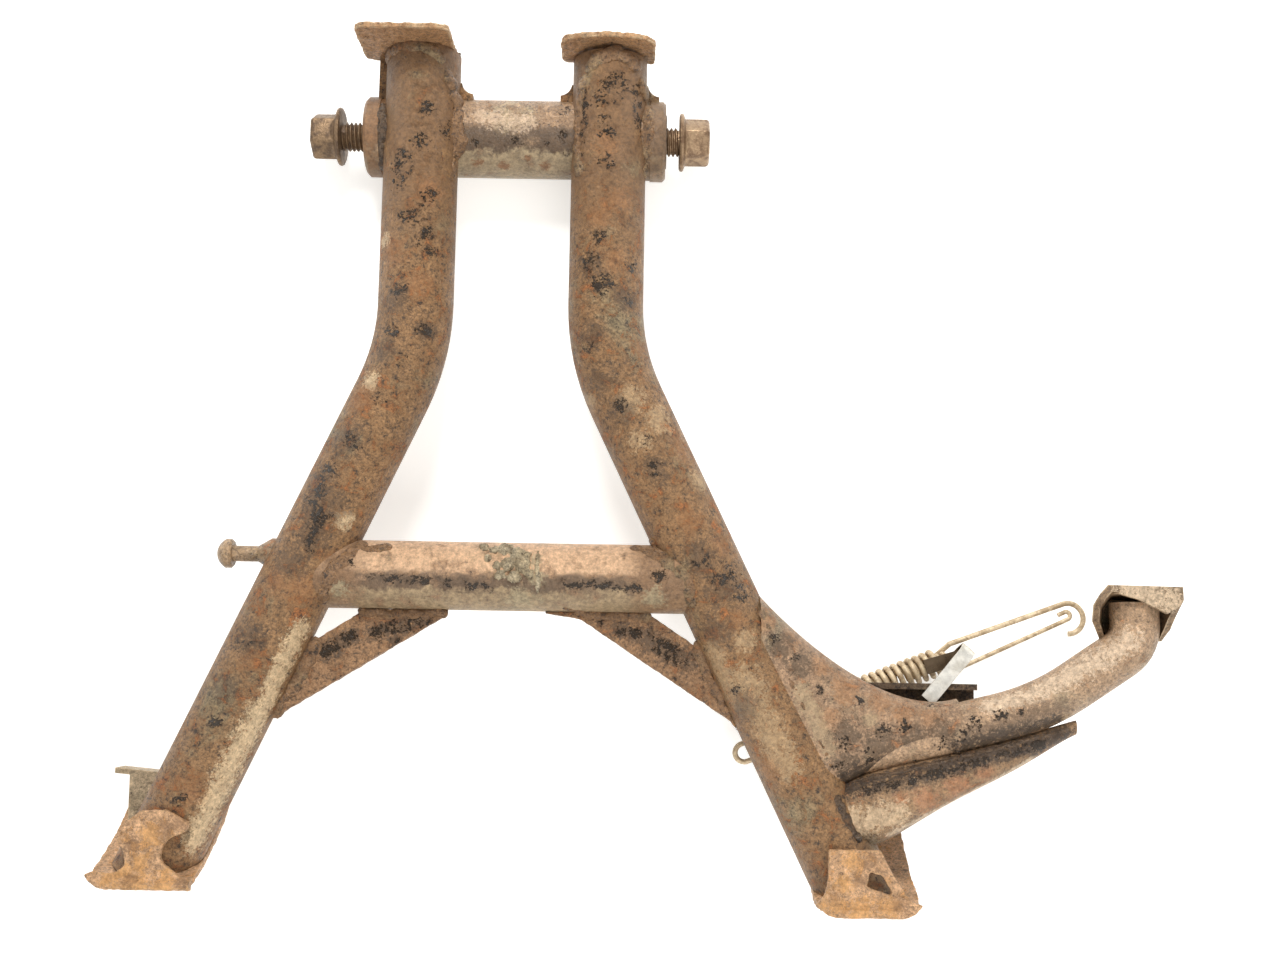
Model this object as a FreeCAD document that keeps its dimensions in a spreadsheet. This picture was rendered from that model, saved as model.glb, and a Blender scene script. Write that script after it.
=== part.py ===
import FreeCAD, Part
import Sketcher
import math
import os
import re

# Motorcycle centre stand, lying on its back as it comes to rest.
# Every piece is drawn in the stand's own frame: X along the pivot axis, Y from the feet
# towards the stops, Z up out of the plane of the legs. Its origin is in that plane, above
# the pivot axis and midway between the legs. At the end the whole stand is laid down.

V = FreeCAD.Vector
DOC = FreeCAD.newDocument("CentreStand")

# Driving sizes in millimetres and degrees: alias, value, what it is
SIZES = [
    ("leg_od", 30.5, "leg tube outside diameter"),
    ("leg_wall", 2.6, "leg tube wall"),
    ("leg_spacing", 77.2, "between the leg centre lines at the pivot"),
    ("leg_top_rise", 32.2, "pivot axis up to the top of the left leg"),
    ("right_leg_top_rise", 30.8, "pivot axis up to the top of the right leg"),
    ("leg_bend_drop", 92.6, "pivot axis down to the corner of the leg bend"),
    ("leg_bend_radius", 92.0, "bend radius of the leg centre line"),
    ("left_splay", 24.5, "left leg angle below the bend, degrees"),
    ("right_splay", 25.8, "right leg angle below the bend, degrees"),
    ("leg_foot_drop", 298.4, "pivot axis down to the lower ends of the legs"),
    ("pivot_od", 32.0, "pivot tube outside diameter"),
    ("pivot_bore", 22.0, "pivot tube bore"),
    ("pivot_length", 124.0, "pivot tube length"),
    ("pivot_set_back", 8.5, "pivot axis behind the plane of the legs"),
    ("collar_od", 32.9, "diameter of the collar at each end of the pivot tube"),
    ("collar_length", 6.4, "length of that collar"),
    ("collar_chamfer", 1.2, "chamfer on the collar's outer rim"),
    ("sleeve_clearance", 0.05, "radial running clearance of the sleeve in the pivot tube"),
    ("sleeve_proud", 0.4, "how far the sleeve stands out at each end of the pivot tube"),
    ("thread_size", 12.0, "thread diameter of the two pivot bolts"),
    ("thread_clearance", 0.05, "radial clearance of the thread in the sleeve"),
    ("bolt_length", 38.0, "pivot bolt length under its flange"),
    ("bolt_flats", 17.0, "across the flats of the bolt head"),
    ("bolt_flange_od", 24.0, "bolt flange diameter"),
    ("bolt_flange_rim", 2.0, "bolt flange thickness at its rim"),
    ("bolt_cone", 1.8, "height of the cone between flange and hexagon"),
    ("bolt_head", 12.6, "height of flange, cone and hexagon together"),
    ("left_bolt_gap", 10.5, "left flange stands this far off the pivot tube"),
    ("right_bolt_gap", 5.7, "right flange stands this far off the pivot tube"),
    ("stop_thickness", 2.4, "stop plate thickness"),
    ("stop_front", 29.0, "front edge of the left stop plate ahead of the leg plane"),
    ("stop_back", 6.0, "back edge of the left stop plate behind the leg plane"),
    ("right_stop_front", 22.0, "front edge of the right stop plate ahead of the leg plane"),
    ("right_stop_back", 4.0, "back edge of the right stop plate behind the leg plane"),
    ("left_stop_out", 25.0, "left stop plate reach outward of its leg"),
    ("left_stop_in", 13.5, "left stop plate reach inward of its leg"),
    ("right_stop_out", 18.6, "right stop plate reach outward of its leg"),
    ("right_stop_in", 20.0, "right stop plate reach inward of its leg"),
    ("right_stop_crown", 2.2, "rise of the right stop plate at its middle"),
    ("stop_corner", 5.0, "corner radius of the stop plates"),
    ("web_thickness", 8.0, "thickness of the neck webs"),
    ("web_reach", 5.2, "reach of the neck webs along the pivot tube"),
    ("web_top", 21.1, "pivot axis up to the top of the hollow-edged neck webs"),
    ("strip_reach", 3.2, "reach of the straight web outside the left neck"),
    ("brace_od", 27.2, "cross brace outside diameter"),
    ("brace_wall", 2.3, "cross brace wall"),
    ("brace_drop", 183.1, "pivot axis down to the cross brace"),
    ("strut_thickness", 4.0, "thickness of the two strut plates under the brace"),
    ("left_strut_tip", 21.5, "left strut's end under the brace, from the middle"),
    ("left_notch_tip", 54.9, "left strut's notch under the brace, from the middle"),
    ("left_strut_foot", 30.0, "left strut's foot on the leg below its notch"),
    ("right_strut_tip", 17.0, "right strut's end under the brace, from the middle"),
    ("right_notch_tip", 58.7, "right strut's notch under the brace, from the middle"),
    ("right_strut_foot", 38.5, "right strut's foot on the leg below its notch"),
    ("notch_drop", 208.9, "pivot axis down to the notches' corners on the legs"),
    ("post_drop", 175.7, "pivot axis down to the spring post"),
    ("post_length", 20.7702, "spring post's length outside its leg"),
    ("post_od", 6.3, "spring post shank diameter"),
    ("post_head_od", 11.6, "spring post head diameter"),
    ("post_head_height", 6.4, "spring post head height"),
    ("shoe_wall", 3.0, "sheet thickness of the shoes"),
    ("shoe_width", 40.5, "shoe width along the pivot direction"),
    ("shoe_front", 19.5, "front edge of the sole ahead of the leg plane"),
    ("shoe_back", 38.0, "back edge of the sole behind the leg plane"),
    ("sole_front_drop", 304.4, "pivot axis down to the front edge of the sole"),
    ("sole_middle_drop", 294.4, "pivot axis down to the sole at its middle line"),
    ("sole_middle_back", 10.0, "middle line of the sole behind the leg plane"),
    ("sole_back_drop", 276.4, "pivot axis down to the back edge of the sole"),
    ("right_shoe_lower", 5.8, "the right shoe sits this much lower on its leg"),
    ("left_shoe_place", 133.6, "left shoe centre from the middle of the stand"),
    ("right_shoe_place", 143.4, "right shoe centre from the middle of the stand"),
    ("tongue_top_drop", 275.4, "pivot axis down to the top of the left tongue"),
    ("right_tongue_top", 25.0, "top of the right tongue above the front edge of its sole"),
    ("lug_wall", 2.2, "sheet thickness of the heel lug"),
    ("lug_depth", 10.0, "depth of the heel lug's tab"),
    ("lug_drop", 261.9, "pivot axis down to the heel lug's tab"),
    ("lug_reach", 155.0, "middle of the stand out to the heel lug's end"),
    ("lever_od", 19.3, "lever tube outside diameter"),
    ("lever_wall", 2.0, "lever tube wall"),
    ("lever_drop", 255.9, "pivot axis down to the lever's root on the leg"),
    ("lever_slope", 14.5, "slope of the lever's first run, degrees"),
    ("lever_first_run", 99.0, "leg centre to the corner of the first bend"),
    ("lever_first_turn", 19.5, "angle of the first bend, degrees"),
    ("lever_first_radius", 95.0, "radius of the first bend"),
    ("lever_second_run", 45.4, "corner of the first bend to that of the second"),
    ("lever_tip_turn", 56.0, "angle of the second bend, degrees"),
    ("lever_tip_radius", 13.5, "radius of the second bend"),
    ("lever_tip_run", 16.5, "corner of the second bend to the tube's end"),
    ("shell_wall", 2.5, "sheet thickness of the pressed lever root and rib"),
    ("rib_forward", 3.0, "rib under the lever stands this far ahead of the leg plane"),
    ("channel_wall", 2.4, "sheet thickness of the channel behind the lever"),
    ("channel_back", 18.5, "back face of that channel behind the leg plane"),
    ("channel_depth", 9.0, "depth of that channel"),
    ("channel_end", 190.5, "middle of the stand out to the channel's end"),
    ("channel_top_drop", 222.4, "pivot axis down to the channel's top edge"),
    ("channel_low_drop", 248.9, "pivot axis down to the channel's lower edge"),
    ("pedal_wall", 2.6, "sheet thickness of the pedal"),
    ("pedal_front", 13.0, "front edge of the pedal ahead of the leg plane"),
    ("spring_gap", 0.3, "clearance of the springs behind the channel"),
    ("spring_lower", 1.4, "springs and anchor pin below the lines that they are drawn on"),
    ("spring_slope", 21.5, "slope of the spring axis, degrees"),
    ("outer_coil_od", 12.0, "outer spring coil diameter"),
    ("outer_wire", 2.2, "outer spring wire"),
    ("outer_pitch", 3.15, "outer spring pitch"),
    ("inner_coil_od", 6.8, "inner spring coil diameter"),
    ("inner_wire", 1.8, "inner spring wire"),
    ("inner_pitch", 2.6, "inner spring pitch"),
    ("anchor_od", 5.0, "spring anchor pin diameter"),
    ("anchor_head_od", 8.6, "spring anchor pin head diameter"),
    ("anchor_head_height", 1.8, "spring anchor pin head height"),
    ("link_width", 6.0, "width of the folded spring link"),
    ("link_wall", 1.2, "sheet thickness of the folded spring link"),
]
ALIASES = [alias for alias, given, meaning in SIZES]

SHEET = DOC.addObject("Spreadsheet::Sheet", "Sizes")
for row, (alias, given, meaning) in enumerate(SIZES, start=1):
    SHEET.set("A%d" % row, alias)
    SHEET.set("B%d" % row, str(given))
    SHEET.set("C%d" % row, meaning)
    SHEET.setAlias("B%d" % row, alias)
DOC.recompute()


def sheet_words(expression):
    """An expression over the sheet's names, as the document's objects want it."""
    def point_to_sheet(match):
        word = match.group()
        return "Sizes." + word if word in ALIASES else word
    return re.sub(r"[a-z_]+", point_to_sheet, str(expression))


def number(expression):
    """The number that an expression over the sheet gives now."""
    return float(SHEET.evalExpression(sheet_words(expression)))


def bind(thing, path, expression):
    """Bind a property or a constraint to the sheet."""
    thing.setExpression(path, sheet_words(expression))


# Sketch and feature helpers

def new_body(name):
    return DOC.addObject("PartDesign::Body", name)


def new_sketch(body, name, plane, lift="0"):
    """A sketch on one of the body's own origin planes, lifted along its normal."""
    sketch = body.newObject("Sketcher::SketchObject", name)
    support = [f for f in body.Origin.OriginFeatures if f.Role == plane][0]
    sketch.AttachmentSupport = [(support, "")]
    sketch.MapMode = "FlatFace"
    bind(sketch, "AttachmentOffset.Base.z", lift)
    return sketch


def fix_point(sketch, geometry, point, x, y):
    """Hold one point of the sketch at two expressions."""
    across = sketch.addConstraint(
        Sketcher.Constraint("DistanceX", -1, 1, geometry, point, number(x)))
    bind(sketch, "Constraints[%d]" % across, x)
    up = sketch.addConstraint(
        Sketcher.Constraint("DistanceY", -1, 1, geometry, point, number(y)))
    bind(sketch, "Constraints[%d]" % up, y)


def add_arc(sketch, start, via, end):
    """An arc through three points. Gives its index and its start and end point numbers."""
    circle = Part.Arc(start, via, end).toShape().Curve
    centre = circle.Center
    angle_1 = math.atan2(start.y - centre.y, start.x - centre.x)
    angle_2 = math.atan2(end.y - centre.y, end.x - centre.x)
    turn = (start - centre).cross(via - start).z
    if turn < 0:
        angle_1, angle_2 = angle_2, angle_1
    flat = Part.Circle(centre, V(0, 0, 1), circle.Radius)
    index = sketch.addGeometry(Part.ArcOfCircle(flat, angle_1, angle_2))
    return (index, 1, 2) if turn > 0 else (index, 2, 1)


def draw_outline(sketch, corners):
    """A closed outline. A corner (x, y) starts a line, and (x, y, via x, via y) an arc."""
    spots = [V(number(c[0]), number(c[1]), 0) for c in corners]
    runs = []
    for i, corner in enumerate(corners):
        start = spots[i]
        end = spots[(i + 1) % len(spots)]
        if len(corner) == 4:
            via = V(number(corner[2]), number(corner[3]), 0)
            runs.append(add_arc(sketch, start, via, end))
        else:
            runs.append((sketch.addGeometry(Part.LineSegment(start, end)), 1, 2))
    for i, run in enumerate(runs):
        after = runs[(i + 1) % len(runs)]
        sketch.addConstraint(Sketcher.Constraint("Coincident", run[0], run[2], after[0], after[1]))
    for i, corner in enumerate(corners):
        fix_point(sketch, runs[i][0], runs[i][1], corner[0], corner[1])
        if len(corner) == 4:
            via = V(number(corner[2]), number(corner[3]), 0)
            mark = sketch.addGeometry(Part.Point(via), True)
            fix_point(sketch, mark, 1, corner[2], corner[3])
            sketch.addConstraint(Sketcher.Constraint("PointOnObject", mark, 1, runs[i][0]))


def draw_circle(sketch, x, y, radius):
    """A circle with its centre and radius bound to the sheet."""
    circle = Part.Circle(V(number(x), number(y), 0), V(0, 0, 1), number(radius))
    index = sketch.addGeometry(circle)
    fix_point(sketch, index, 3, x, y)
    held = sketch.addConstraint(Sketcher.Constraint("Radius", index, number(radius)))
    bind(sketch, "Constraints[%d]" % held, radius)


def draw_bent_line(sketch, corners, radii):
    """Straight runs through the corners, joined by tangent arcs of the given radii."""
    spots = [V(number(x), number(y), 0) for x, y in corners]
    starts = [spots[0]]
    arcs = []
    for i, radius in enumerate(radii, start=1):
        back = (spots[i - 1] - spots[i]).normalize()
        ahead = (spots[i + 1] - spots[i]).normalize()
        half_turn = (math.pi - back.getAngle(ahead)) / 2
        reach = number(radius) * math.tan(half_turn)
        enter = spots[i] + back * reach
        leave = spots[i] + ahead * reach
        towards = (back + ahead).normalize()
        centre = spots[i] + towards * (number(radius) / math.cos(half_turn))
        middle = centre - towards * number(radius)
        starts.extend([enter, leave])
        arcs.append((enter, middle, leave))
    starts.append(spots[-1])
    lines = []
    for i in range(0, len(starts), 2):
        lines.append(sketch.addGeometry(Part.LineSegment(starts[i], starts[i + 1])))
    for i, (enter, middle, leave) in enumerate(arcs):
        arc, first, last = add_arc(sketch, enter, middle, leave)
        sketch.addConstraint(Sketcher.Constraint("Tangent", lines[i], 2, arc, first))
        sketch.addConstraint(Sketcher.Constraint("Tangent", arc, last, lines[i + 1], 1))
        held = sketch.addConstraint(Sketcher.Constraint("Radius", arc, number(radii[i])))
        bind(sketch, "Constraints[%d]" % held, radii[i])
        mark = sketch.addGeometry(Part.Point(spots[i + 1]), True)
        fix_point(sketch, mark, 1, *corners[i + 1])
        sketch.addConstraint(Sketcher.Constraint("PointOnObject", mark, 1, lines[i]))
        sketch.addConstraint(Sketcher.Constraint("PointOnObject", mark, 1, lines[i + 1]))
    fix_point(sketch, lines[0], 1, *corners[0])
    fix_point(sketch, lines[-1], 2, *corners[-1])


def pad_outline(body, name, plane, lift, length, corners):
    """Pad an outline from a lifted plane, along the plane's normal."""
    sketch = new_sketch(body, name + "_outline", plane, lift)
    draw_outline(sketch, corners)
    pad = body.newObject("PartDesign::Pad", name)
    pad.Profile = sketch
    bind(pad, "Length", length)
    return pad


def pocket_outline(body, name, plane, lift, length, corners):
    """Cut an outline from a lifted plane, along the plane's normal."""
    sketch = new_sketch(body, name + "_outline", plane, lift)
    draw_outline(sketch, corners)
    pocket = body.newObject("PartDesign::Pocket", name)
    pocket.Profile = sketch
    pocket.Reversed = True
    bind(pocket, "Length", length)
    return pocket


def turn_outline(body, name, lift, corners):
    """Turn an outline about the X direction of a plane parallel to the leg plane."""
    sketch = new_sketch(body, name + "_outline", "XY_Plane", lift)
    draw_outline(sketch, corners)
    turned = body.newObject("PartDesign::Revolution", name)
    turned.Profile = sketch
    turned.ReferenceAxis = (sketch, ["H_Axis"])
    turned.Angle = 360
    return turned


def bent_rod(name, corners, radii, radius, section_plane, section_lift, section_centre):
    """A round rod along straight runs and tangent arcs."""
    body = new_body(name)
    path = new_sketch(body, name + "_path", "XY_Plane")
    draw_bent_line(path, corners, radii)
    section = new_sketch(body, name + "_section", section_plane, section_lift)
    draw_circle(section, section_centre, "0", radius)
    pipe = body.newObject("PartDesign::AdditivePipe", name + "_pipe")
    pipe.Profile = section
    pipe.Spine = (path, [])
    return body


def loft_slots(body, name, kind, slots):
    """A loft through round-ended slots across X: x, low y, high y, middle z, half depth."""
    sketches = []
    for i, (x, low, high, middle, half) in enumerate(slots, start=1):
        sketch = new_sketch(body, "%s_slot_%d" % (name, i), "YZ_Plane", x)
        top = "(%s) + (%s)" % (middle, half)
        bottom = "(%s) - (%s)" % (middle, half)
        draw_outline(sketch, [
            ("(%s) + (%s)" % (low, half), bottom),
            ("(%s) - (%s)" % (high, half), bottom, high, middle),
            ("(%s) - (%s)" % (high, half), top),
            ("(%s) + (%s)" % (low, half), top, low, middle),
        ])
        sketches.append(sketch)
    loft = body.newObject(kind, name)
    loft.Profile = sketches[0]
    loft.Sections = sketches[1:]
    return loft


def cut_away(name, base, tools):
    """The base with every tool cut away."""
    for i, tool in enumerate(tools, start=1):
        cut = DOC.addObject("Part::Cut", "%s_cut_%d" % (name, i))
        cut.Base = base
        cut.Tool = tool
        base = cut
    return base


def join(name, pieces):
    """Several overlapping solids as one."""
    fused = DOC.addObject("Part::MultiFuse", name + "_joined")
    fused.Shapes = pieces
    fused.Refine = True
    return fused


NODES = []


def keep(thing, label):
    """Note a finished sub-part under the name of its file."""
    thing.Label = label
    NODES.append(thing)
    return thing


def leg_line(side, drop):
    """Where the leg's centre line crosses a drop below the bend: an expression for x."""
    run = "leg_spacing / 2 + ((%s) - leg_bend_drop) * tan(%s_splay)" % (drop, side)
    return "-(%s)" % run if side == "left" else run


# Legs

def leg_rod(side, name, radius, above, below):
    """A rod along one leg's centre line, drawn past its ends by the given amounts."""
    sign = "-" if side == "left" else ""
    right_word = "" if side == "left" else "right_"
    top = right_word + "leg_top_rise + %s" % above
    foot_drop = "leg_foot_drop + %s" % below
    corners = [
        (sign + "leg_spacing / 2", top),
        (sign + "leg_spacing / 2", "-leg_bend_drop"),
        (leg_line(side, foot_drop), "-(%s)" % foot_drop),
    ]
    return bent_rod(name, corners, ["leg_bend_radius"], radius,
                    "XZ_Plane", "-(%s)" % top, sign + "leg_spacing / 2")


LEFT_ROD = leg_rod("left", "left_leg_rod", "leg_od / 2", "0", "4")
RIGHT_ROD = leg_rod("right", "right_leg_rod", "leg_od / 2", "0", "4 + right_shoe_lower")
LEFT_BORE = leg_rod("left", "left_leg_bore", "leg_od / 2 - leg_wall", "1", "9")
RIGHT_BORE = leg_rod("right", "right_leg_bore", "leg_od / 2 - leg_wall", "1", "9 + right_shoe_lower")


# Pivot tube, sleeve and bolts

PIVOT_PLANE = "-pivot_set_back"


def pivot_rod():
    """The pivot tube's outside, with a chamfered collar at each end."""
    body = new_body("pivot_rod")
    turn_outline(body, "pivot_turning", PIVOT_PLANE, [
        ("-pivot_length / 2", "0"),
        ("pivot_length / 2", "0"),
        ("pivot_length / 2", "collar_od / 2 - collar_chamfer"),
        ("pivot_length / 2 - collar_chamfer", "collar_od / 2"),
        ("pivot_length / 2 - collar_length", "collar_od / 2"),
        ("pivot_length / 2 - collar_length", "pivot_od / 2"),
        ("-pivot_length / 2 + collar_length", "pivot_od / 2"),
        ("-pivot_length / 2 + collar_length", "collar_od / 2"),
        ("-pivot_length / 2 + collar_chamfer", "collar_od / 2"),
        ("-pivot_length / 2", "collar_od / 2 - collar_chamfer"),
    ])
    return body


def plain_round(name, x_from, x_to, radius):
    """A plain round bar on the pivot axis."""
    body = new_body(name)
    turn_outline(body, name + "_turning", PIVOT_PLANE, [
        (x_from, "0"), (x_to, "0"), (x_to, radius), (x_from, radius)])
    return body


PIVOT_ROD = pivot_rod()
PIVOT_BORE = plain_round("pivot_bore_rod", "-pivot_length / 2 - 1", "pivot_length / 2 + 1",
                         "pivot_bore / 2")
keep(cut_away("pivot_tube", PIVOT_ROD, [PIVOT_BORE]), "pivot_tube")


def pivot_sleeve():
    """The sleeve that turns in the pivot tube, threaded inside for both bolts."""
    body = new_body("pivot_sleeve_body")
    end = "(pivot_length / 2 + sleeve_proud)"
    inside = "thread_size / 2 + thread_clearance"
    outside = "pivot_bore / 2 - sleeve_clearance"
    turn_outline(body, "sleeve_turning", PIVOT_PLANE, [
        ("-" + end, inside), (end, inside), (end, outside), ("-" + end, outside)])
    return body


keep(pivot_sleeve(), "pivot_sleeve")


def pivot_bolt(side, sign, gap):
    """A hexagon bolt with a flange, screwed partly into the sleeve."""
    name = side + "_bolt"
    seat = "(pivot_length / 2 + %s)" % gap

    def along(offset):
        return "%s * (%s + %s)" % (sign, seat, offset)

    turned = new_body(name + "_turned")
    turn_outline(turned, name + "_turning", PIVOT_PLANE, [
        (along("-bolt_length"), "0"),
        (along("bolt_flange_rim + bolt_cone"), "0"),
        (along("bolt_flange_rim + bolt_cone"), "bolt_flats / 2 + 0.6"),
        (along("bolt_flange_rim"), "bolt_flange_od / 2 - 0.5"),
        (along("0.6"), "bolt_flange_od / 2"),
        (along("0"), "bolt_flange_od / 2 - 0.6"),
        (along("0"), "thread_size / 2"),
        (along("-bolt_length + 1.5"), "thread_size / 2"),
        (along("-bolt_length"), "thread_size / 2 - 1.2"),
    ])
    hexagon = new_body(name + "_hexagon")
    low = "bolt_flange_rim + bolt_cone / 2"
    start = along(low) if sign == "1" else along("bolt_head")
    corner = "(bolt_flats / 2 / cos(30))"
    turns = [(30 + 60 * i) for i in range(6)]
    pad_outline(hexagon, name + "_prism", "YZ_Plane", start, "bolt_head - (%s)" % low, [
        ("%s * cos(%d)" % (corner, turn), "-pivot_set_back + %s * sin(%d)" % (corner, turn))
        for turn in turns])
    crown = new_body(name + "_crown")
    turn_outline(crown, name + "_crown_turning", PIVOT_PLANE, [
        (along("0.5"), "0"),
        (along("bolt_head"), "0"),
        (along("bolt_head"), "bolt_flats / 2 - 1.6"),
        (along("bolt_head - 2.4"), "bolt_flats / 2 + 1.6"),
        (along("0.5"), "bolt_flats / 2 + 1.6"),
    ])
    head = DOC.addObject("Part::Common", name + "_head")
    head.Base = hexagon
    head.Tool = crown
    return join(name, [turned, head])


keep(pivot_bolt("left", "-1", "left_bolt_gap"), "left_pivot_bolt")
keep(pivot_bolt("right", "1", "right_bolt_gap"), "right_pivot_bolt")


# Stop plates at the upper ends of the legs

def upright_edges(shape, length):
    """The edges of a plate that run along Y through its thickness."""
    names = []
    for i, edge in enumerate(shape.Edges, start=1):
        first, last = edge.Vertexes[0].Point, edge.Vertexes[-1].Point
        level = abs(first.x - last.x) < 0.01 and abs(first.z - last.z) < 0.01
        if level and abs(edge.Length - length) < 0.05:
            names.append("Edge%d" % i)
    return names


def stop_plate(side, low_x, high_x, crown, under, front, back):
    """A bent or flat plate across the leg's end, with rounded corners."""
    body = new_body(side + "_stop_body")
    middle = "((%s) + (%s)) / 2" % (low_x, high_x)
    over = under + " + stop_thickness"
    corners = [(low_x, under), (high_x, under), (high_x, over), (low_x, over)]
    if crown != "0":
        corners = [
            (low_x, under, middle, "%s + %s" % (under, crown)),
            (high_x, under),
            (high_x, over, middle, "%s + %s" % (over, crown)),
            (low_x, over),
        ]
    plate = pad_outline(body, side + "_stop_pad", "XY_Plane", "-" + back,
                        "%s + %s" % (front, back), corners)
    DOC.recompute()
    rounded = body.newObject("PartDesign::Fillet", side + "_stop_corners")
    rounded.Base = (plate, upright_edges(plate.Shape, number("stop_thickness")))
    bind(rounded, "Radius", "stop_corner")
    return body


keep(stop_plate("left", "-leg_spacing / 2 - left_stop_out", "-leg_spacing / 2 + left_stop_in", "0",
                "leg_top_rise", "stop_front", "stop_back"), "left_stop_plate")
keep(stop_plate("right", "leg_spacing / 2 - right_stop_in", "leg_spacing / 2 + right_stop_out",
                "right_stop_crown", "right_leg_top_rise", "right_stop_front", "right_stop_back"),
     "right_stop_plate")


# Neck webs in the corners between the necks and the pivot tube

WEB_BACK = "-web_thickness / 2 - pivot_set_back / 2"


def neck_web(name, leg, towards):
    """A web with a hollow edge, from the neck down to the pivot tube."""
    flank = "(%s + %s * leg_od / 2)" % (leg, towards)
    body = new_body(name + "_body")

    def out(offset):
        return "%s + %s * (%s)" % (flank, towards, offset)

    corners = [
        (out("-5"), "pivot_od / 2 - 5"),
        (out("web_reach"), "pivot_od / 2 - 5"),
        (out("web_reach"), "pivot_od / 2 + 0.5", out("web_reach * 0.3"), "pivot_od / 2 + 2.6"),
        (out("0.6"), "web_top"),
        (out("-5"), "web_top"),
    ]
    if towards == "-1":
        corners = [
            (out("-5"), "pivot_od / 2 - 5"),
            (out("-5"), "web_top"),
            (out("0.6"), "web_top", out("web_reach * 0.3"), "pivot_od / 2 + 2.6"),
            (out("web_reach"), "pivot_od / 2 + 0.5"),
            (out("web_reach"), "pivot_od / 2 - 5"),
        ]
    pad_outline(body, name + "_pad", "XY_Plane", WEB_BACK, "web_thickness", corners)
    rod = LEFT_ROD if leg.startswith("-") else RIGHT_ROD
    return cut_away(name, body, [rod, PIVOT_ROD])


def straight_web():
    """The straight web on the outside of the left neck."""
    body = new_body("left_outer_web_body")
    flank = "-leg_spacing / 2 - leg_od / 2"
    pad_outline(body, "left_outer_web_pad", "XY_Plane", WEB_BACK, "web_thickness", [
        (flank + " - strip_reach", "pivot_od / 2 - 5"),
        (flank + " + 5", "pivot_od / 2 - 5"),
        (flank + " + 5", "leg_top_rise"),
        (flank + " - strip_reach", "leg_top_rise"),
    ])
    return cut_away("left_outer_web", body, [LEFT_ROD, PIVOT_ROD])


keep(straight_web(), "left_outer_neck_web")
keep(neck_web("left_inner_web", "-leg_spacing / 2", "1"), "left_inner_neck_web")
keep(neck_web("right_inner_web", "leg_spacing / 2", "-1"), "right_inner_neck_web")
keep(neck_web("right_outer_web", "leg_spacing / 2", "1"), "right_outer_neck_web")


# Cross brace and the two struts under it

def brace_round(name, radius):
    """A round bar along the cross brace, from leg centre to leg centre."""
    body = new_body(name)
    start = leg_line("left", "brace_drop")
    sketch = new_sketch(body, name + "_section", "YZ_Plane", start)
    draw_circle(sketch, "-brace_drop", "0", radius)
    pad = body.newObject("PartDesign::Pad", name + "_pad")
    pad.Profile = sketch
    bind(pad, "Length", "(%s) - (%s)" % (leg_line("right", "brace_drop"), start))
    return body


BRACE_ROD = brace_round("brace_rod", "brace_od / 2")
BRACE_BORE = brace_round("brace_bore", "brace_od / 2 - brace_wall")
keep(cut_away("brace", BRACE_ROD, [LEFT_ROD, RIGHT_ROD, BRACE_BORE]), "cross_brace_tube")

BRACE_UNDER = "-(brace_drop + brace_od / 2)"


def left_strut():
    body = new_body("left_strut_body")
    foot = "notch_drop + left_strut_foot"
    pad_outline(body, "left_strut_pad", "XY_Plane", "-strut_thickness / 2", "strut_thickness", [
        ("-left_strut_tip", BRACE_UNDER + " + 3"),
        ("-left_notch_tip", BRACE_UNDER + " + 3"),
        ("-left_notch_tip", BRACE_UNDER + " - 0.6"),
        (leg_line("left", "notch_drop") + " + leg_od * 0.62", "-notch_drop"),
        (leg_line("left", "notch_drop"), "-notch_drop"),
        (leg_line("left", foot), "-(%s)" % foot),
        (leg_line("left", foot) + " + leg_od * 0.62", "-(%s)" % foot),
        ("-left_strut_tip", BRACE_UNDER + " - 2"),
    ])
    return cut_away("left_strut", body, [LEFT_ROD, BRACE_ROD])


def right_strut():
    body = new_body("right_strut_body")
    foot = "notch_drop + right_strut_foot"
    pad_outline(body, "right_strut_pad", "XY_Plane", "-strut_thickness / 2", "strut_thickness", [
        ("right_strut_tip", BRACE_UNDER + " + 3"),
        ("right_strut_tip", BRACE_UNDER + " - 0.8"),
        ("right_strut_tip + 14", BRACE_UNDER + " - 2.8"),
        (leg_line("right", foot + " - 9") + " - leg_od * 0.6", "-(%s) + 9" % foot),
        (leg_line("right", foot) + " - leg_od * 0.5", "-(%s)" % foot),
        (leg_line("right", foot), "-(%s)" % foot),
        (leg_line("right", "notch_drop"), "-notch_drop"),
        (leg_line("right", "notch_drop") + " - leg_od * 0.6", "-notch_drop"),
        ("right_notch_tip", BRACE_UNDER + " - 0.6"),
        ("right_notch_tip", BRACE_UNDER + " + 3"),
    ])
    return cut_away("right_strut", body, [RIGHT_ROD, BRACE_ROD])


keep(left_strut(), "left_brace_strut")
keep(right_strut(), "right_brace_strut")


# Spring post on the outside of the left leg

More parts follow.
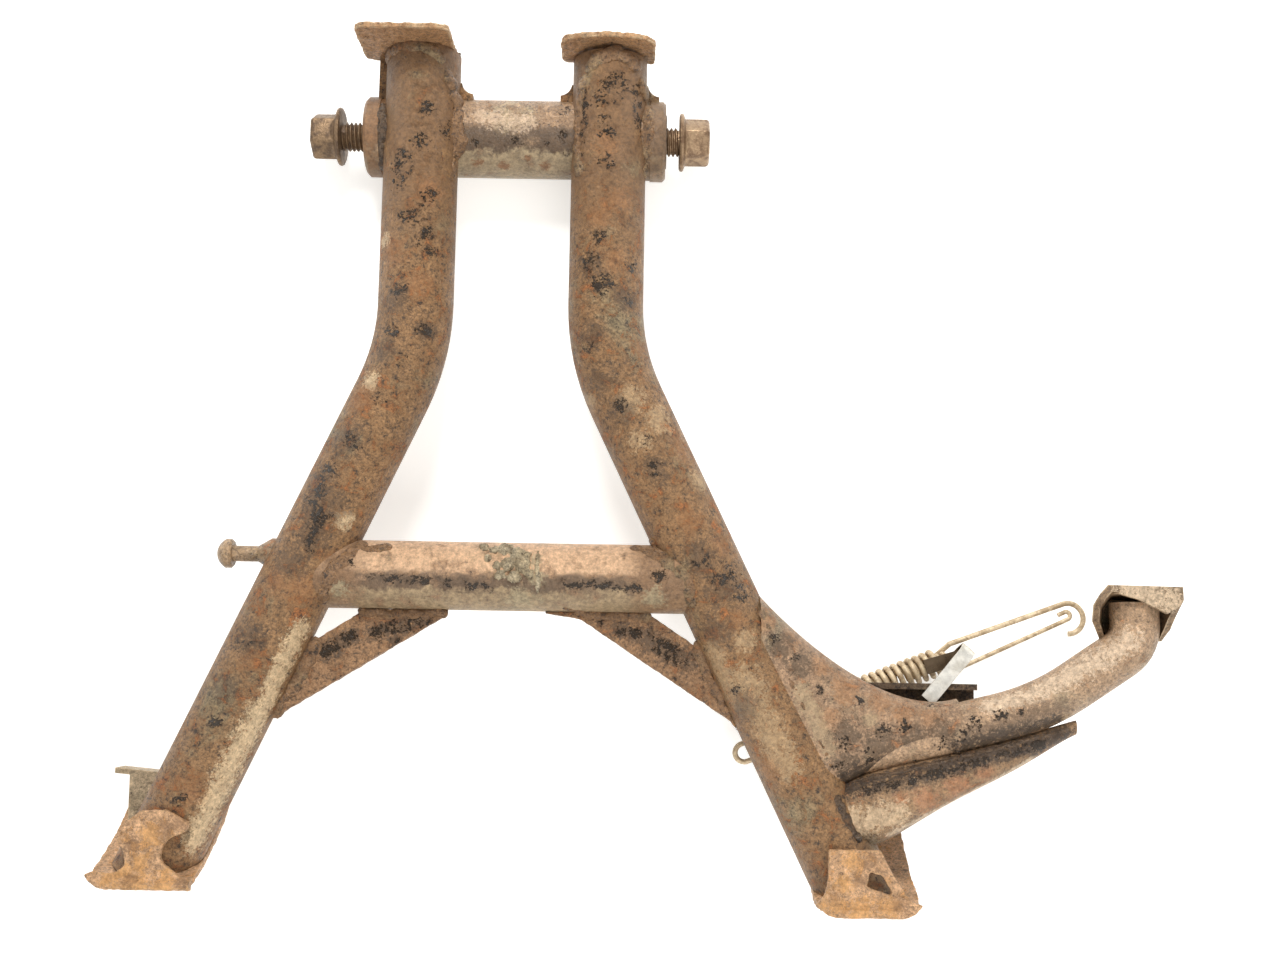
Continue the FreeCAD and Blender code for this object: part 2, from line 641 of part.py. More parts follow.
def spring_post():
    """A mushroom-headed pin with a weld flare at its root."""
    body = new_body("spring_post_body")
    leg = leg_line("left", "post_drop")
    sketch = new_sketch(body, "post_outline", "XY_Plane")
    axis = sketch.addGeometry(Part.LineSegment(V(0, -1, 0), V(-9, -1, 0)), True)
    fix_point(sketch, axis, 1, "0", "-post_drop")
    root = "(%s - leg_od / 2 / cos(left_splay))" % leg
    end = root + " - post_length"
    fix_point(sketch, axis, 2, end + " - 5", "-post_drop")
    level = "-post_drop"
    draw_outline(sketch, [
        (leg, level),
        (leg, "-post_drop + post_od / 2 + 3.2"),
        (root + " + 1", "-post_drop + post_od / 2 + 3.2"),
        (root + " - 4.5", "-post_drop + post_od / 2"),
        (end + " + post_head_height", "-post_drop + post_od / 2"),
        (end + " + post_head_height", "-post_drop + post_head_od / 2 - 0.8"),
        (end + " + post_head_height - 0.8", "-post_drop + post_head_od / 2"),
        (end + " + 3.5", "-post_drop + post_head_od / 2",
         end + " + 0.94", "-post_drop + post_head_od * 0.292"),
        (end, "-post_drop + 0.6"),
        (end, level),
    ])
    turned = body.newObject("PartDesign::Revolution", "post_turning")
    turned.Profile = sketch
    turned.ReferenceAxis = (sketch, ["Axis0"])
    turned.Angle = 360
    return cut_away("spring_post", body, [LEFT_ROD])


keep(spring_post(), "spring_post")


# Shoes: a rocker sole and the tongue that holds it to the front of the leg

def sole_outline(lower, back, wall):
    """The section of a sole, from its outer face to a parallel line nearer the leg."""
    return [
        ("-sole_front_drop - " + lower, "shoe_front",
         "-sole_middle_drop - " + lower, "-sole_middle_back"),
        ("-sole_back_drop - " + lower, "-" + back),
        ("-sole_back_drop + %s * 1.3 - %s" % (wall, lower), "-" + back,
         "-sole_middle_drop + %s * 1.15 - %s" % (wall, lower), "-sole_middle_back"),
        ("-sole_front_drop + %s - %s" % (wall, lower), "shoe_front"),
    ]


def shoe_sole(side, centre, lower, back):
    """The sole, a strip bent to a rocker, as wide as the shoe."""
    body = new_body(side + "_sole_body")
    pad_outline(body, side + "_sole", "YZ_Plane", "%s - shoe_width / 2" % centre, "shoe_width",
                sole_outline(lower, back, "shoe_wall"))
    sweep_corner(body, side + "_sole_left_corner", centre, "-1")
    if side == "right":
        sweep_corner(body, side + "_sole_right_corner", centre, "1")
    return body


def sweep_corner(body, name, centre, towards):
    """Cut one front corner of a sole back in a long curve, as seen along the legs."""
    def out(share):
        return "%s + %s * shoe_width * %s" % (centre, towards, share)

    pocket_outline(body, name, "XZ_Plane", "sole_middle_drop - 12", "40", [
        (out("0.56"), "shoe_front + 3"),
        (out("0.56"), "shoe_front - 14.7"),
        (out("0.5"), "shoe_front - 14.7", out("0.415"), "shoe_front - 4"),
        (out("0.29"), "shoe_front"),
        (out("0.29"), "shoe_front + 3"),
    ])


def below_sole(side, centre, lower, back):
    """All the room below a sole's inner face, which cuts the leg's lower end to its shape."""
    body = new_body(side + "_below_body")
    outline = sole_outline(lower, back, "shoe_wall")
    pad_outline(body, side + "_below", "YZ_Plane", "%s - shoe_width" % centre, "2 * shoe_width", [
        outline[2],
        outline[3],
        ("-sole_front_drop - 40", "shoe_front"),
        ("-sole_front_drop - 40", "-" + back),
    ])
    return body


def left_tongue(centre):
    """The left tongue: waisted over the sole, widening again on the leg."""
    body = new_body("left_tongue_body")

    def out(offset):
        return "%s + %s" % (centre, offset)

    pad_outline(body, "left_tongue", "XY_Plane", "leg_od / 2", "shoe_wall", [
        (out("-shoe_width * 0.29"), "-sole_front_drop - 0.5"),
        (out("shoe_width / 2"), "-sole_front_drop - 0.5"),
        (out("shoe_width / 2"), "-sole_front_drop + 2.2"),
        (out("9.4"), "-sole_front_drop + 9.5",
         out("9.6"), "-sole_front_drop + 16.5"),
        (out("14.6"), "-sole_front_drop + 20.2",
         out("18.2"), "-sole_front_drop + 23"),
        (out("18.6"), "-tongue_top_drop - 4"),
        (out("9.5"), "-tongue_top_drop + 0.8"),
        (out("0"), "-tongue_top_drop"),
        (out("-5.6"), "-tongue_top_drop - 4.2"),
        (out("-8.6"), "-sole_front_drop + 17.5",
         out("-7.2"), "-sole_front_drop + 15.6"),
        (out("-5.8"), "-sole_front_drop + 14"),
        (out("-5"), "-sole_front_drop + 8.5",
         out("-9"), "-sole_front_drop + 6.2"),
        (out("-shoe_width / 2 + 4.5"), "-sole_front_drop + 6.8"),
        (out("-shoe_width / 2"), "-sole_front_drop + 5.2",
         out("-shoe_width * 0.415"), "-sole_front_drop + 1.2"),
    ])
    return body


def right_tongue(centre):
    """The right tongue: a broad neck with a torn corner over the sole."""
    body = new_body("right_tongue_body")

    def out(offset):
        return "%s + %s" % (centre, offset)

    def up(offset):
        return "-sole_front_drop - right_shoe_lower + %s" % offset

    pad_outline(body, "right_tongue", "XY_Plane", "leg_od / 2", "shoe_wall", [
        (out("-shoe_width * 0.29"), up("-0.5")),
        (out("shoe_width * 0.27"), up("-0.5"), out("shoe_width * 0.41"), up("1.1")),
        (out("shoe_width / 2"), up("4.6")),
        (out("15.5"), up("6.4")),
        (out("9"), up("15.6")),
        (out("4"), up("right_tongue_top")),
        (out("-15.6"), up("right_tongue_top")),
        (out("-16"), up("14")),
        (out("-17"), up("8.4")),
        (out("-shoe_width / 2"), up("4.8"), out("-shoe_width * 0.415"), up("1.2")),
    ])
    pocket_outline(body, "right_tongue_tear", "XY_Plane", "leg_od / 2 - 1", "shoe_wall + 2", [
        (out("0"), up("16.6")),
        (out("-1.3"), up("11.4")),
        (out("8.9"), up("8")),
        (out("4.4"), up("15.6")),
    ])
    return body


RIGHT_BACK = ("(shoe_back + right_shoe_lower * (shoe_back - pivot_set_back - collar_od / 2)"
              " / (sole_back_drop - shoe_wall * 1.3))")

LEFT_PIECES = [shoe_sole("left", "-left_shoe_place", "0", "shoe_back"),
               left_tongue("-left_shoe_place")]
RIGHT_PIECES = [shoe_sole("right", "right_shoe_place", "right_shoe_lower", RIGHT_BACK),
                right_tongue("right_shoe_place")]
# the room that each shoe takes stays in the stand's frame when the shoe itself is laid down
LEFT_SHOE = join("left_shoe_room", LEFT_PIECES)
RIGHT_SHOE = join("right_shoe_room", RIGHT_PIECES)
LEFT_BELOW = below_sole("left", "-left_shoe_place", "0", "shoe_back")
RIGHT_BELOW = below_sole("right", "right_shoe_place", "right_shoe_lower", RIGHT_BACK)
keep(join("left_shoe", LEFT_PIECES), "left_shoe")
keep(join("right_shoe", RIGHT_PIECES), "right_shoe")


def heel_lug():
    """The lug behind the left leg: a web on the sole with a tab across its top."""
    web = new_body("lug_web_body")
    back = "-leg_od / 2 - lug_wall"
    pad_outline(web, "lug_web", "XY_Plane", back, "lug_wall", [
        ("-lug_reach + 6", "-lug_drop - 1"),
        ("-lug_reach + 6.4", "-sole_middle_drop - 1"),
        ("-left_shoe_place", "-sole_middle_drop - 1"),
        (leg_line("left", "lug_drop + 12"), "-lug_drop - 12"),
        ("-lug_reach + 21", "-lug_drop - 1"),
    ])
    tab = new_body("lug_tab_body")
    pad_outline(tab, "lug_tab", "XY_Plane", back + " - lug_depth", "lug_depth + lug_wall", [
        ("-lug_reach", "-lug_drop + 0.4"),
        ("-lug_reach", "-lug_drop - lug_wall + 0.4"),
        ("-lug_reach + 20", "-lug_drop - lug_wall - 1.4"),
        ("-lug_reach + 20", "-lug_drop - 1.4"),
    ])
    return cut_away("heel_lug", join("heel_lug", [web, tab]),
                    [LEFT_SHOE, LEFT_ROD, LEFT_BELOW])


keep(heel_lug(), "left_heel_lug")


# Lever: bent tube, pressed root, rib below, channel behind, and the pedal

LEVER_ROOT = leg_line("right", "lever_drop")
LEVER_BEND = [
    ("0", "0"),
    ("lever_first_run", "0"),
    ("lever_first_run + lever_second_run * cos(lever_first_turn)",
     "lever_second_run * sin(lever_first_turn)"),
    ("lever_first_run + lever_second_run * cos(lever_first_turn)"
     " + lever_tip_run * cos(lever_first_turn + lever_tip_turn)",
     "lever_second_run * sin(lever_first_turn)"
     " + lever_tip_run * sin(lever_first_turn + lever_tip_turn)"),
]


def lever_rod(name, radius):
    """A rod along the lever, laid from the leg's centre line at the lever's slope."""
    body = bent_rod(name, LEVER_BEND, ["lever_first_radius", "lever_tip_radius"], radius,
                    "YZ_Plane", "0", "0")
    bind(body, "Placement.Base.x", LEVER_ROOT)
    bind(body, "Placement.Base.y", "-lever_drop")
    body.Placement.Rotation = FreeCAD.Rotation(V(0, 0, 1), number("lever_slope"))
    bind(body, "Placement.Rotation.Angle", "lever_slope")
    return body


LEVER_ROD = lever_rod("lever_rod", "lever_od / 2")
LEVER_BORE = lever_rod("lever_bore", "lever_od / 2 - lever_wall")


def lever_spot(along, aside):
    """A point on the lever's second run, measured from its second corner."""
    slope = "(lever_slope + lever_first_turn)"
    x = ("%s + lever_first_run * cos(lever_slope) + (lever_second_run + %s) * cos(%s)"
         " - (%s) * sin(%s)" % (LEVER_ROOT, along, slope, aside, slope))
    y = ("-lever_drop + lever_first_run * sin(lever_slope) + (lever_second_run + %s) * sin(%s)"
         " + (%s) * cos(%s)" % (along, slope, aside, slope))
    return x, y


PEDAL_X, PEDAL_Y = lever_spot("0", "0")


def pedal_loft(body, name, levels):
    """A straight-sided loft between two outlines measured from the second bend."""
    sketches = []
    for i, (lift, corners) in enumerate(levels, start=1):
        sketch = new_sketch(body, "%s_level_%d" % (name, i), "XY_Plane", lift)
        draw_outline(sketch, [("%s + %s" % (PEDAL_X, x), "%s + %s" % (PEDAL_Y, y))
                              for x, y in corners])
        sketches.append(sketch)
    loft = body.newObject("PartDesign::AdditiveLoft", name)
    loft.Profile = sketches[0]
    loft.Sections = sketches[1:]
    loft.Ruled = True
    return body


def pedal():
    """A pressed foot plate with flaring walls and a lip, open below for the tube."""
    back = "-(lever_od / 2 + pedal_wall)"
    block = pedal_loft(new_body("pedal_body"), "pedal_block", [
        (back, [("-9.5", "1.5"), ("-12.2", "9.5"), ("-11.5", "15.5"), ("-9", "19.5"),
                ("-7.5", "20.5"), ("13", "20.2"), ("13.4", "16.5"), ("13.4", "6.5"),
                ("11", "1.5")]),
        ("pedal_front", [("-18.4", "1.5"), ("-21", "8.7"), ("-20.1", "14.9"), ("-17.3", "19.2"),
                         ("-14.1", "22.8"), ("15.2", "22.5"), ("15.4", "17.5"),
                         ("12.6", "6"), ("10", "1.5")])])
    hollow = pedal_loft(new_body("pedal_hollow_body"), "pedal_hollow", [
        ("-lever_od / 2", [("-7.2", "-2"), ("-9.9", "9.3"), ("-9.3", "14.4"), ("-7.4", "17.2"),
                           ("-6.6", "18"), ("10.6", "17.7"), ("10.9", "15.8"), ("10.8", "6.8"),
                           ("8.6", "-2")]),
        ("pedal_front + 1", [("-16", "-2"), ("-18.6", "8.7"), ("-17.8", "13.9"),
                             ("-15.3", "17.4"), ("-12.8", "20.3"), ("12.6", "20"),
                             ("12.8", "17"), ("10", "6.2"), ("7.8", "-2")])])
    lip = new_body("pedal_lip_body")
    pad_outline(lip, "pedal_lip", "XY_Plane", "pedal_front - pedal_wall", "pedal_wall", [
        ("%s + %s" % (PEDAL_X, x), "%s + %s" % (PEDAL_Y, y)) for x, y in [
            ("-13.6", "22.2"), ("-9.5", "19.4"), ("-1.7", "17.2"), ("6", "13.4"), ("9", "11.9"),
            ("13.4", "14.7"), ("14.8", "17.5"), ("14.6", "22")]])
    slope = new_body("pedal_slope_body")
    pad_outline(slope, "pedal_slope", "YZ_Plane", "(%s) - 30" % PEDAL_X, "60", [
        ("%s + 17" % PEDAL_Y, "pedal_front + 0.01"),
        ("%s + 1" % PEDAL_Y, "0"),
        ("%s - 3" % PEDAL_Y, "0"),
        ("%s - 3" % PEDAL_Y, "pedal_front + 3"),
        ("%s + 17" % PEDAL_Y, "pedal_front + 3"),
    ])
    cup = cut_away("pedal_cup", block, [hollow, slope])
    return cut_away("pedal", join("pedal", [cup, lip]), [LEVER_ROD])


keep(pedal(), "pedal_saddle")


def shell_slots(inset):
    """The pressed root from the leg out to the lever tube, as slots across it."""
    first = leg_line("right", "lever_drop - 67") + " + leg_od * 0.55"

    def slot(x, low, high, half):
        return ("%s + %s" % (first, x), "-lever_drop - %s + %s" % (low, inset),
                "-lever_drop + %s - %s" % (high, inset), "0", "%s - %s" % (half, inset))

    ends = ("0", "78") if inset == "0" else ("-1.5", "80")
    return [
        slot(ends[0], "-4", "67", "leg_od / 2 - 2"),
        slot("14", "10.4", "53.6", "leg_od / 2 - 2.4"),
        slot("36", "5.6", "37.4", "lever_od / 2 + 2"),
        slot(ends[1], "-4.8", "27.8", "lever_od / 2 + 0.8"),
    ]


def rib_slots():
    """The rib under the lever, from its blunt root to its thin end."""
    def slot(x, low, high, forward, half):
        return ("%s + %s" % (LEVER_ROOT, x), "-lever_drop - %s" % low,
                "-lever_drop + %s" % high, "rib_forward * %s" % forward, half)

    return [
        slot("16.6", "26.5", "-5.5", "1", "7.5"),
        slot("24", "29.5", "-2.4", "1", "10"),
        slot("48", "19", "4", "0.9", "8.6"),
        slot("78", "3", "11", "0.7", "5.6"),
        slot("95", "-6.6", "16", "0.6", "4.2"),
        slot("109", "-14.6", "20.2", "0.5", "2.4"),
    ]


SHELL_BODY = new_body("lever_shell_body")
loft_slots(SHELL_BODY, "lever_shell", "PartDesign::AdditiveLoft", shell_slots("0"))
SHELL_HOLLOW = new_body("lever_shell_hollow")
loft_slots(SHELL_HOLLOW, "lever_shell_inside", "PartDesign::AdditiveLoft",
           shell_slots("shell_wall"))
RIB_BODY = new_body("lever_rib_body")
loft_slots(RIB_BODY, "lever_rib", "PartDesign::AdditiveLoft", rib_slots())


def channel():
    """The open channel behind the lever, between the leg and the lever tube."""
    body = new_body("channel_body")
    start = leg_line("right", "channel_low_drop")
    front = "-channel_back + channel_depth"
    pad_outline(body, "channel_pad", "YZ_Plane", start, "channel_end - (%s)" % start, [
        ("-channel_low_drop", "-channel_back"),
        ("-channel_top_drop", "-channel_back"),
        ("-channel_top_drop", front),
        ("-channel_top_drop - channel_wall", front),
        ("-channel_top_drop - channel_wall", "-channel_back + channel_wall"),
        ("-channel_low_drop + channel_wall", "-channel_back + channel_wall"),
        ("-channel_low_drop + channel_wall", front),
        ("-channel_low_drop", front),
    ])
    return body


keep(cut_away("lever_tube", LEVER_ROD, [LEVER_BORE, RIGHT_ROD]), "lever_tube")
keep(cut_away("lever_shell", SHELL_BODY, [SHELL_HOLLOW, RIGHT_ROD, LEVER_ROD]),
     "lever_root_shell")
keep(cut_away("lever_rib", RIB_BODY, [RIGHT_ROD, LEVER_ROD, SHELL_BODY, RIGHT_SHOE]),
     "lever_under_rib")
keep(cut_away("channel", channel(), [RIGHT_ROD, LEVER_ROD, SHELL_BODY]), "lever_back_channel")


# Legs, coped round what passes through them

keep(cut_away("left_leg", LEFT_ROD, [LEFT_BORE, PIVOT_ROD, LEFT_SHOE, LEFT_BELOW]),
     "left_leg_tube")
keep(cut_away("right_leg", RIGHT_ROD, [RIGHT_BORE, PIVOT_ROD, RIGHT_SHOE, RIGHT_BELOW]),
     "right_leg_tube")


# Return springs, the pin that they hook on, and the folded link

SPRING_Z = "-(channel_back + spring_gap + outer_coil_od / 2)"
SPRING_TURN = math.radians(number("spring_slope"))
ALONG = V(math.cos(SPRING_TURN), math.sin(SPRING_TURN), 0)
ASIDE = V(-math.sin(SPRING_TURN), math.cos(SPRING_TURN), 0)
LOWERED = V(0, -number("spring_lower"), 0)


def in_plane(x, y):
    """A point in the plane of the springs."""
    return V(x, y, number(SPRING_Z))


def axis_point(x):
    """The point of the spring axis at one place across the stand."""
    return in_plane(168, -216) + ALONG * ((x - 168) / ALONG.x)


def swept(wire, start, direction, radius):
    """Round wire of a given radius swept along a path."""
    circle = Part.Wire(Part.Circle(start, direction, radius).toShape())
    return wire.makePipeShell([circle], True, True)


def wire_run(points, radius):
    """Straight pieces of wire from point to point, with a ball at each corner."""
    solids = []
    for start, end in zip(points, points[1:]):
        run = end - start
        solids.append(Part.makeCylinder(radius, run.Length, start, run))
    for corner in points[1:-1]:
        solids.append(Part.makeSphere(radius, corner))
    return solids


def direction(angle):
    """The unit vector at an angle in the spring's plane, in degrees."""
    return V(math.cos(math.radians(angle)), math.sin(math.radians(angle)), 0)


def wire_hook(before, end, bend, turn, radius):
    """The bend that goes on smoothly from a run of wire, and its far end.

    It turns left by so many degrees, or right where they are below zero.
    """
    run = end - before
    heading = math.degrees(math.atan2(run.y, run.x))
    inward = math.copysign(90, turn)
    centre = end + direction(heading + inward) * bend
    first = heading - inward
    ring = Part.makeTorus(bend, radius, V(0, 0, 0), V(0, 0, 1), 0, 360, abs(turn))
    ring.rotate(V(0, 0, 0), V(0, 0, 1), min(first, first + turn))
    ring.translate(centre)
    return ring, centre + direction(first + turn) * bend


def coil(start, end, coil_od, wire, pitch):
    """A coil about the line from start to end. Gives its solid and its two wire ends.

    The wire follows the helix in four arcs a turn.
    """
    along = (end - start).normalize()
    length = (end - start).Length
    bend = (coil_od - wire) / 2
    steps = round(4 * length / pitch)

    def on_helix(share):
        turn = 2 * math.pi * share * length / pitch
        return V(bend * math.cos(turn), bend * math.sin(turn), share * length)

    arcs = []
    for i in range(steps):
        middle = on_helix((i + 0.5) / steps)
        arcs.append(Part.Arc(on_helix(i / steps), middle, on_helix((i + 1) / steps)).toShape())
    tangent = V(0, 2 * math.pi * bend, pitch)
    solid = swept(Part.Wire(arcs), on_helix(0), tangent, wire / 2)
    place = FreeCAD.Placement(start, FreeCAD.Rotation(V(0, 0, 1), along))
    solid.Placement = place
    return solid, place.multVec(on_helix(0)), place.multVec(on_helix(1))


def one_spring(pieces):
    """Overlapping pieces of wire fused to one spring and lowered to its place."""
    spring = pieces[0].multiFuse(pieces[1:]).removeSplitter()
    spring.translate(LOWERED)
    return spring


def shape_node(label, shape):
    """A sub-part whose shape is worked out here, from the sheet's sizes."""
    thing = DOC.addObject("Part::Feature", label)
    thing.Shape = shape
    return keep(thing, label)


# Where the coils begin and end across the stand, and the middle of the hooks' bend
OUTER_COIL = (119.0, 178.0)
INNER_COIL = (124.0, 181.5)
HOOK = in_plane(98.3, -250.4)
HOOK_BEND = 3.7
HOOK_ARM = 9.0


def hook_on_anchor(start, lift, radius):
    """Wire from the coil to a long open hook with the anchor pin between its two arms."""
    upper = HOOK + lift + ASIDE * HOOK_BEND
    neck = upper + ALONG * HOOK_ARM
    bend, lower = wire_hook(neck, upper, HOOK_BEND, 180, radius)
    pieces = wire_run([start, neck, upper], radius)
    pieces.append(bend)
    return pieces + wire_run([lower, lower + ALONG * HOOK_ARM], radius)


def outer_spring():
    """Open coil with a hook at the anchor and a long straight end with an open hook."""
    radius = number("outer_wire") / 2
    solid, first, last = coil(axis_point(OUTER_COIL[0]), axis_point(OUTER_COIL[1]),
                              number("outer_coil_od"), number("outer_wire"),
                              number("outer_pitch"))
    near = axis_point(OUTER_COIL[0] - 2.5)
    far_corner = in_plane(182.5, -204.8)
    far_end = in_plane(229.4, -187.6)
    far_bend, tip = wire_hook(far_corner, far_end, 6.3, -200, radius)
    pieces = [solid, Part.makeSphere(radius, first), Part.makeSphere(radius, last)]
    pieces += wire_run([first, near], radius)
    pieces.append(Part.makeSphere(radius, near))
    pieces += hook_on_anchor(near, V(0, 0, 0), radius)
    pieces += wire_run([last, far_corner, far_end], radius)
    pieces.append(far_bend)
    return one_spring(pieces)


def inner_spring():
    """Slim coil inside the first, with a hook of its own at both ends."""
    radius = number("inner_wire") / 2
    lift = V(0, 0, (number("outer_wire") + number("inner_wire")) / 2 + 0.1)
    solid, first, last = coil(axis_point(INNER_COIL[0]), axis_point(INNER_COIL[1]),
                              number("inner_coil_od"), number("inner_wire"),
                              number("inner_pitch"))
    near = axis_point(INNER_COIL[0] - 3.5) + lift
    far_corner = in_plane(187.5, -214.2)
    far_end = in_plane(231.5, -193.8)
    far_bend, tip = wire_hook(far_corner, far_end, 1.6, 180, radius)
    pieces = [solid, Part.makeSphere(radius, first), Part.makeSphere(radius, last)]
    pieces += wire_run([first, near], radius)
    pieces.append(Part.makeSphere(radius, near))
    pieces += hook_on_anchor(near, lift, radius)
    pieces += wire_run([last, far_corner, far_end], radius)
    pieces.append(far_bend)
    pieces += wire_run([tip, tip + (far_corner - far_end).normalize() * 3], radius)
    return one_spring(pieces)


ANCHOR = HOOK + LOWERED + ALONG * 6 + ASIDE * (HOOK_BEND - number("outer_wire + anchor_od") / 2)


def spring_anchor():
    """A short headed pin behind the right leg, which both springs hook on."""
    end = number(SPRING_Z) - number("outer_wire") / 2 - 0.6
    shank = number("anchor_od") / 2
    head = number("anchor_head_od") / 2
    height = number("anchor_head_height")
    pin = Part.makeCylinder(shank, -end, V(ANCHOR.x, ANCHOR.y, end), V(0, 0, 1))
    disc = Part.makeCylinder(head, height, V(ANCHOR.x, ANCHOR.y, end - height), V(0, 0, 1))
    disc = disc.makeFillet(height * 0.4, disc.Edges)
    return pin.fuse(disc).removeSplitter().cut(RIGHT_ROD.Shape)


def spring_link():
    """A folded strip: its front leg on the channel's edge, its back leg on the coil."""
    width = number("link_width")
    wall = number("link_wall")
    front = number("channel_depth - channel_back")
    rear = number(SPRING_Z) + number("outer_coil_od") / 2
    fold = (front + wall - rear) / 2
    front_leg = Part.makeBox(22.5, width, wall, V(-22.5, -width / 2, front))
    back_leg = Part.makeBox(14, width, wall, V(-14, -width / 2, rear))
    back_leg.rotate(V(0, 0, 0), V(0, 0, 1), -33)
    centre = V(0, -width / 2, rear + fold)
    outside = Part.makeCylinder(fold, width, centre, V(0, 1, 0))
    inside = Part.makeCylinder(fold - wall, width, centre, V(0, 1, 0))
    ahead = Part.makeBox(fold + 1, width, 2 * fold, V(0, -width / 2, rear))
    bend = outside.cut(inside).common(ahead)
    link = front_leg.multiFuse([back_leg, bend]).removeSplitter()
    link.rotate(V(0, 0, 0), V(0, 0, 1), 50)
    link.translate(V(184.8, -211.8, 0))
    return link


DOC.recompute()
shape_node("spring_anchor_pin", spring_anchor())
shape_node("outer_return_spring", outer_spring())
shape_node("inner_return_spring", inner_spring())
shape_node("spring_link", spring_link())


# The stand laid on its back: the collars and the back edges of the soles touch the table

def lie_down():
    """Turn every node about X by the lying angle and set the whole on the table."""
    drop = number("sole_back_drop - shoe_wall * 1.3")
    back = number("shoe_back - pivot_set_back")
    reach = math.hypot(drop, back)
    angle = math.degrees(math.atan2(back, drop) - math.asin(number("collar_od") / 2 / reach))
    turn = FreeCAD.Rotation(V(1, 0, 0), -angle)
    box = FreeCAD.BoundBox()
    for node in NODES:
        shape = node.Shape.copy()
        shape.Placement = FreeCAD.Placement(V(0, 0, 0), turn).multiply(shape.Placement)
        box.add(shape.optimalBoundingBox(False))
    shift = V(-box.Center.x, -box.Center.y, -box.ZMin)
    laid = FreeCAD.Placement(shift, turn)
    for node in NODES:
        node.Placement = laid.multiply(node.Placement)
    return angle, shift


def check_document():
    """Stop if any object failed or any node's shape is not good."""
    for thing in DOC.Objects:
        if "Invalid" in thing.State or "Error" in thing.State:
            raise RuntimeError("failed: " + thing.Label)
    for node in NODES:
        if node.Shape.isNull() or not node.Shape.isValid():
            raise RuntimeError("bad shape: " + node.Label)


LYING_ANGLE, SHIFT = lie_down()
DOC.recompute()
check_document()
print("lying angle %.3f, stand origin at %.3f %.3f %.3f" % (LYING_ANGLE, SHIFT.x, SHIFT.y, SHIFT.z))
os.makedirs("parts", exist_ok=True)
for node in NODES:
    node.Shape.exportStep("parts/%s.step" % node.Label)
    box = node.Shape.BoundBox
    print("%-22s %8.0f mm3, %d solid, x %.1f to %.1f, y %.1f to %.1f, z %.1f to %.1f" % (
        node.Label, node.Shape.Volume, len(node.Shape.Solids),
        box.XMin, box.XMax, box.YMin, box.YMax, box.ZMin, box.ZMax))
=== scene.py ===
import math
import random

import bmesh
import bpy
from bpy.props import FloatProperty, FloatVectorProperty, PointerProperty
from mathutils import Matrix, Vector
from mathutils.bvhtree import BVHTree


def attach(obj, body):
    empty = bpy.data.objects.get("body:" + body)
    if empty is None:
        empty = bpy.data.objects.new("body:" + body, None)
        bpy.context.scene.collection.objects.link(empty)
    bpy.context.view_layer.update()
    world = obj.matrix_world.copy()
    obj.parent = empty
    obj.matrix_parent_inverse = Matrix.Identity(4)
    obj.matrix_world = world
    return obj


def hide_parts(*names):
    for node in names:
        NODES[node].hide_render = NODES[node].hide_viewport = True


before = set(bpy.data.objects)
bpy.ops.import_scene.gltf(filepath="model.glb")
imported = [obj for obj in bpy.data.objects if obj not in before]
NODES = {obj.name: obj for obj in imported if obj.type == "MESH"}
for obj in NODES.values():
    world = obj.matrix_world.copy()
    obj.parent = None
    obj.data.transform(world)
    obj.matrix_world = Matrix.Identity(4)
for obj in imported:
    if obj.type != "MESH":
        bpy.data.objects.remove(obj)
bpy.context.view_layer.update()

bl_info = {
    "name": "Centre Stand Bench",
    "version": (1, 0, 0),
    "blender": (4, 5, 0),
    "location": "3D View > Sidebar > Centre Stand",
    "description": "Finishes, welds, bolts and stage for a rusty motorcycle centre stand",
    "category": "Object",
}

MM = 0.001

# The stand's own frame, in which the pieces are drawn, as it lies on the table
LYING_ANGLE = math.radians(2.738)
STAND_ORIGIN = Vector((-55.714, 136.603, 24.941)) * MM
LAID = Matrix.Translation(STAND_ORIGIN) @ Matrix.Rotation(-LYING_ANGLE, 4, "X")

VIEW_WIDTH = 1279
VIEW_HEIGHT = 961


def paint(red, green, blue):
    """A colour as it is seen, 0 to 255, as the linear colour that shaders take."""
    def straighten(part):
        part /= 255
        return part / 12.92 if part <= 0.04045 else ((part + 0.055) / 1.055) ** 2.4
    return (straighten(red), straighten(green), straighten(blue))


def colour_property(name, description, colour):
    return FloatVectorProperty(name=name, description=description, subtype="COLOR",
                               size=3, min=0, max=1, default=colour)


def length_property(name, description, millimetres):
    return FloatProperty(name=name, description=description, subtype="DISTANCE",
                         unit="LENGTH", default=millimetres * MM)


class StandColours(bpy.types.PropertyGroup):
    brown: colour_property("Brown", "Old rust over most of the tubes", paint(140, 105, 68))
    orange: colour_property("Orange", "Fresh rust patches", paint(170, 108, 60))
    olive: colour_property("Olive", "Dull film of dried oil and dust", paint(146, 126, 92))
    dark: colour_property("Dark", "Dark pitted rust", paint(72, 55, 40))
    grease: colour_property("Grease", "Black grease with grit in it", paint(60, 48, 36))
    # A painted highlight along the top of the brace
    highlighted: colour_property("Highlighted", "Pinkish rubbed rust on the brace", paint(228, 186, 146))
    bare: colour_property("Bare", "Pale worn metal under the pivot tube", paint(176, 154, 120))
    sole: colour_property("Sole", "Bright rust on the feet", paint(222, 165, 106))
    # This colour is partly wear and partly a painted highlight on the lit edges
    rim_wear_and_highlight: colour_property("Rim wear and highlight", "Worn rims of the plates", paint(236, 208, 166))
    bronze: colour_property("Bronze", "Discoloured plating on the bolts", paint(158, 132, 103))
    spring: colour_property("Spring", "Dull spring wire", paint(228, 206, 170))
    strip: colour_property("Strip", "Bright folded strip", paint(226, 222, 212))
    dirt: colour_property("Dirt", "Caked grey dirt", paint(172, 154, 122))


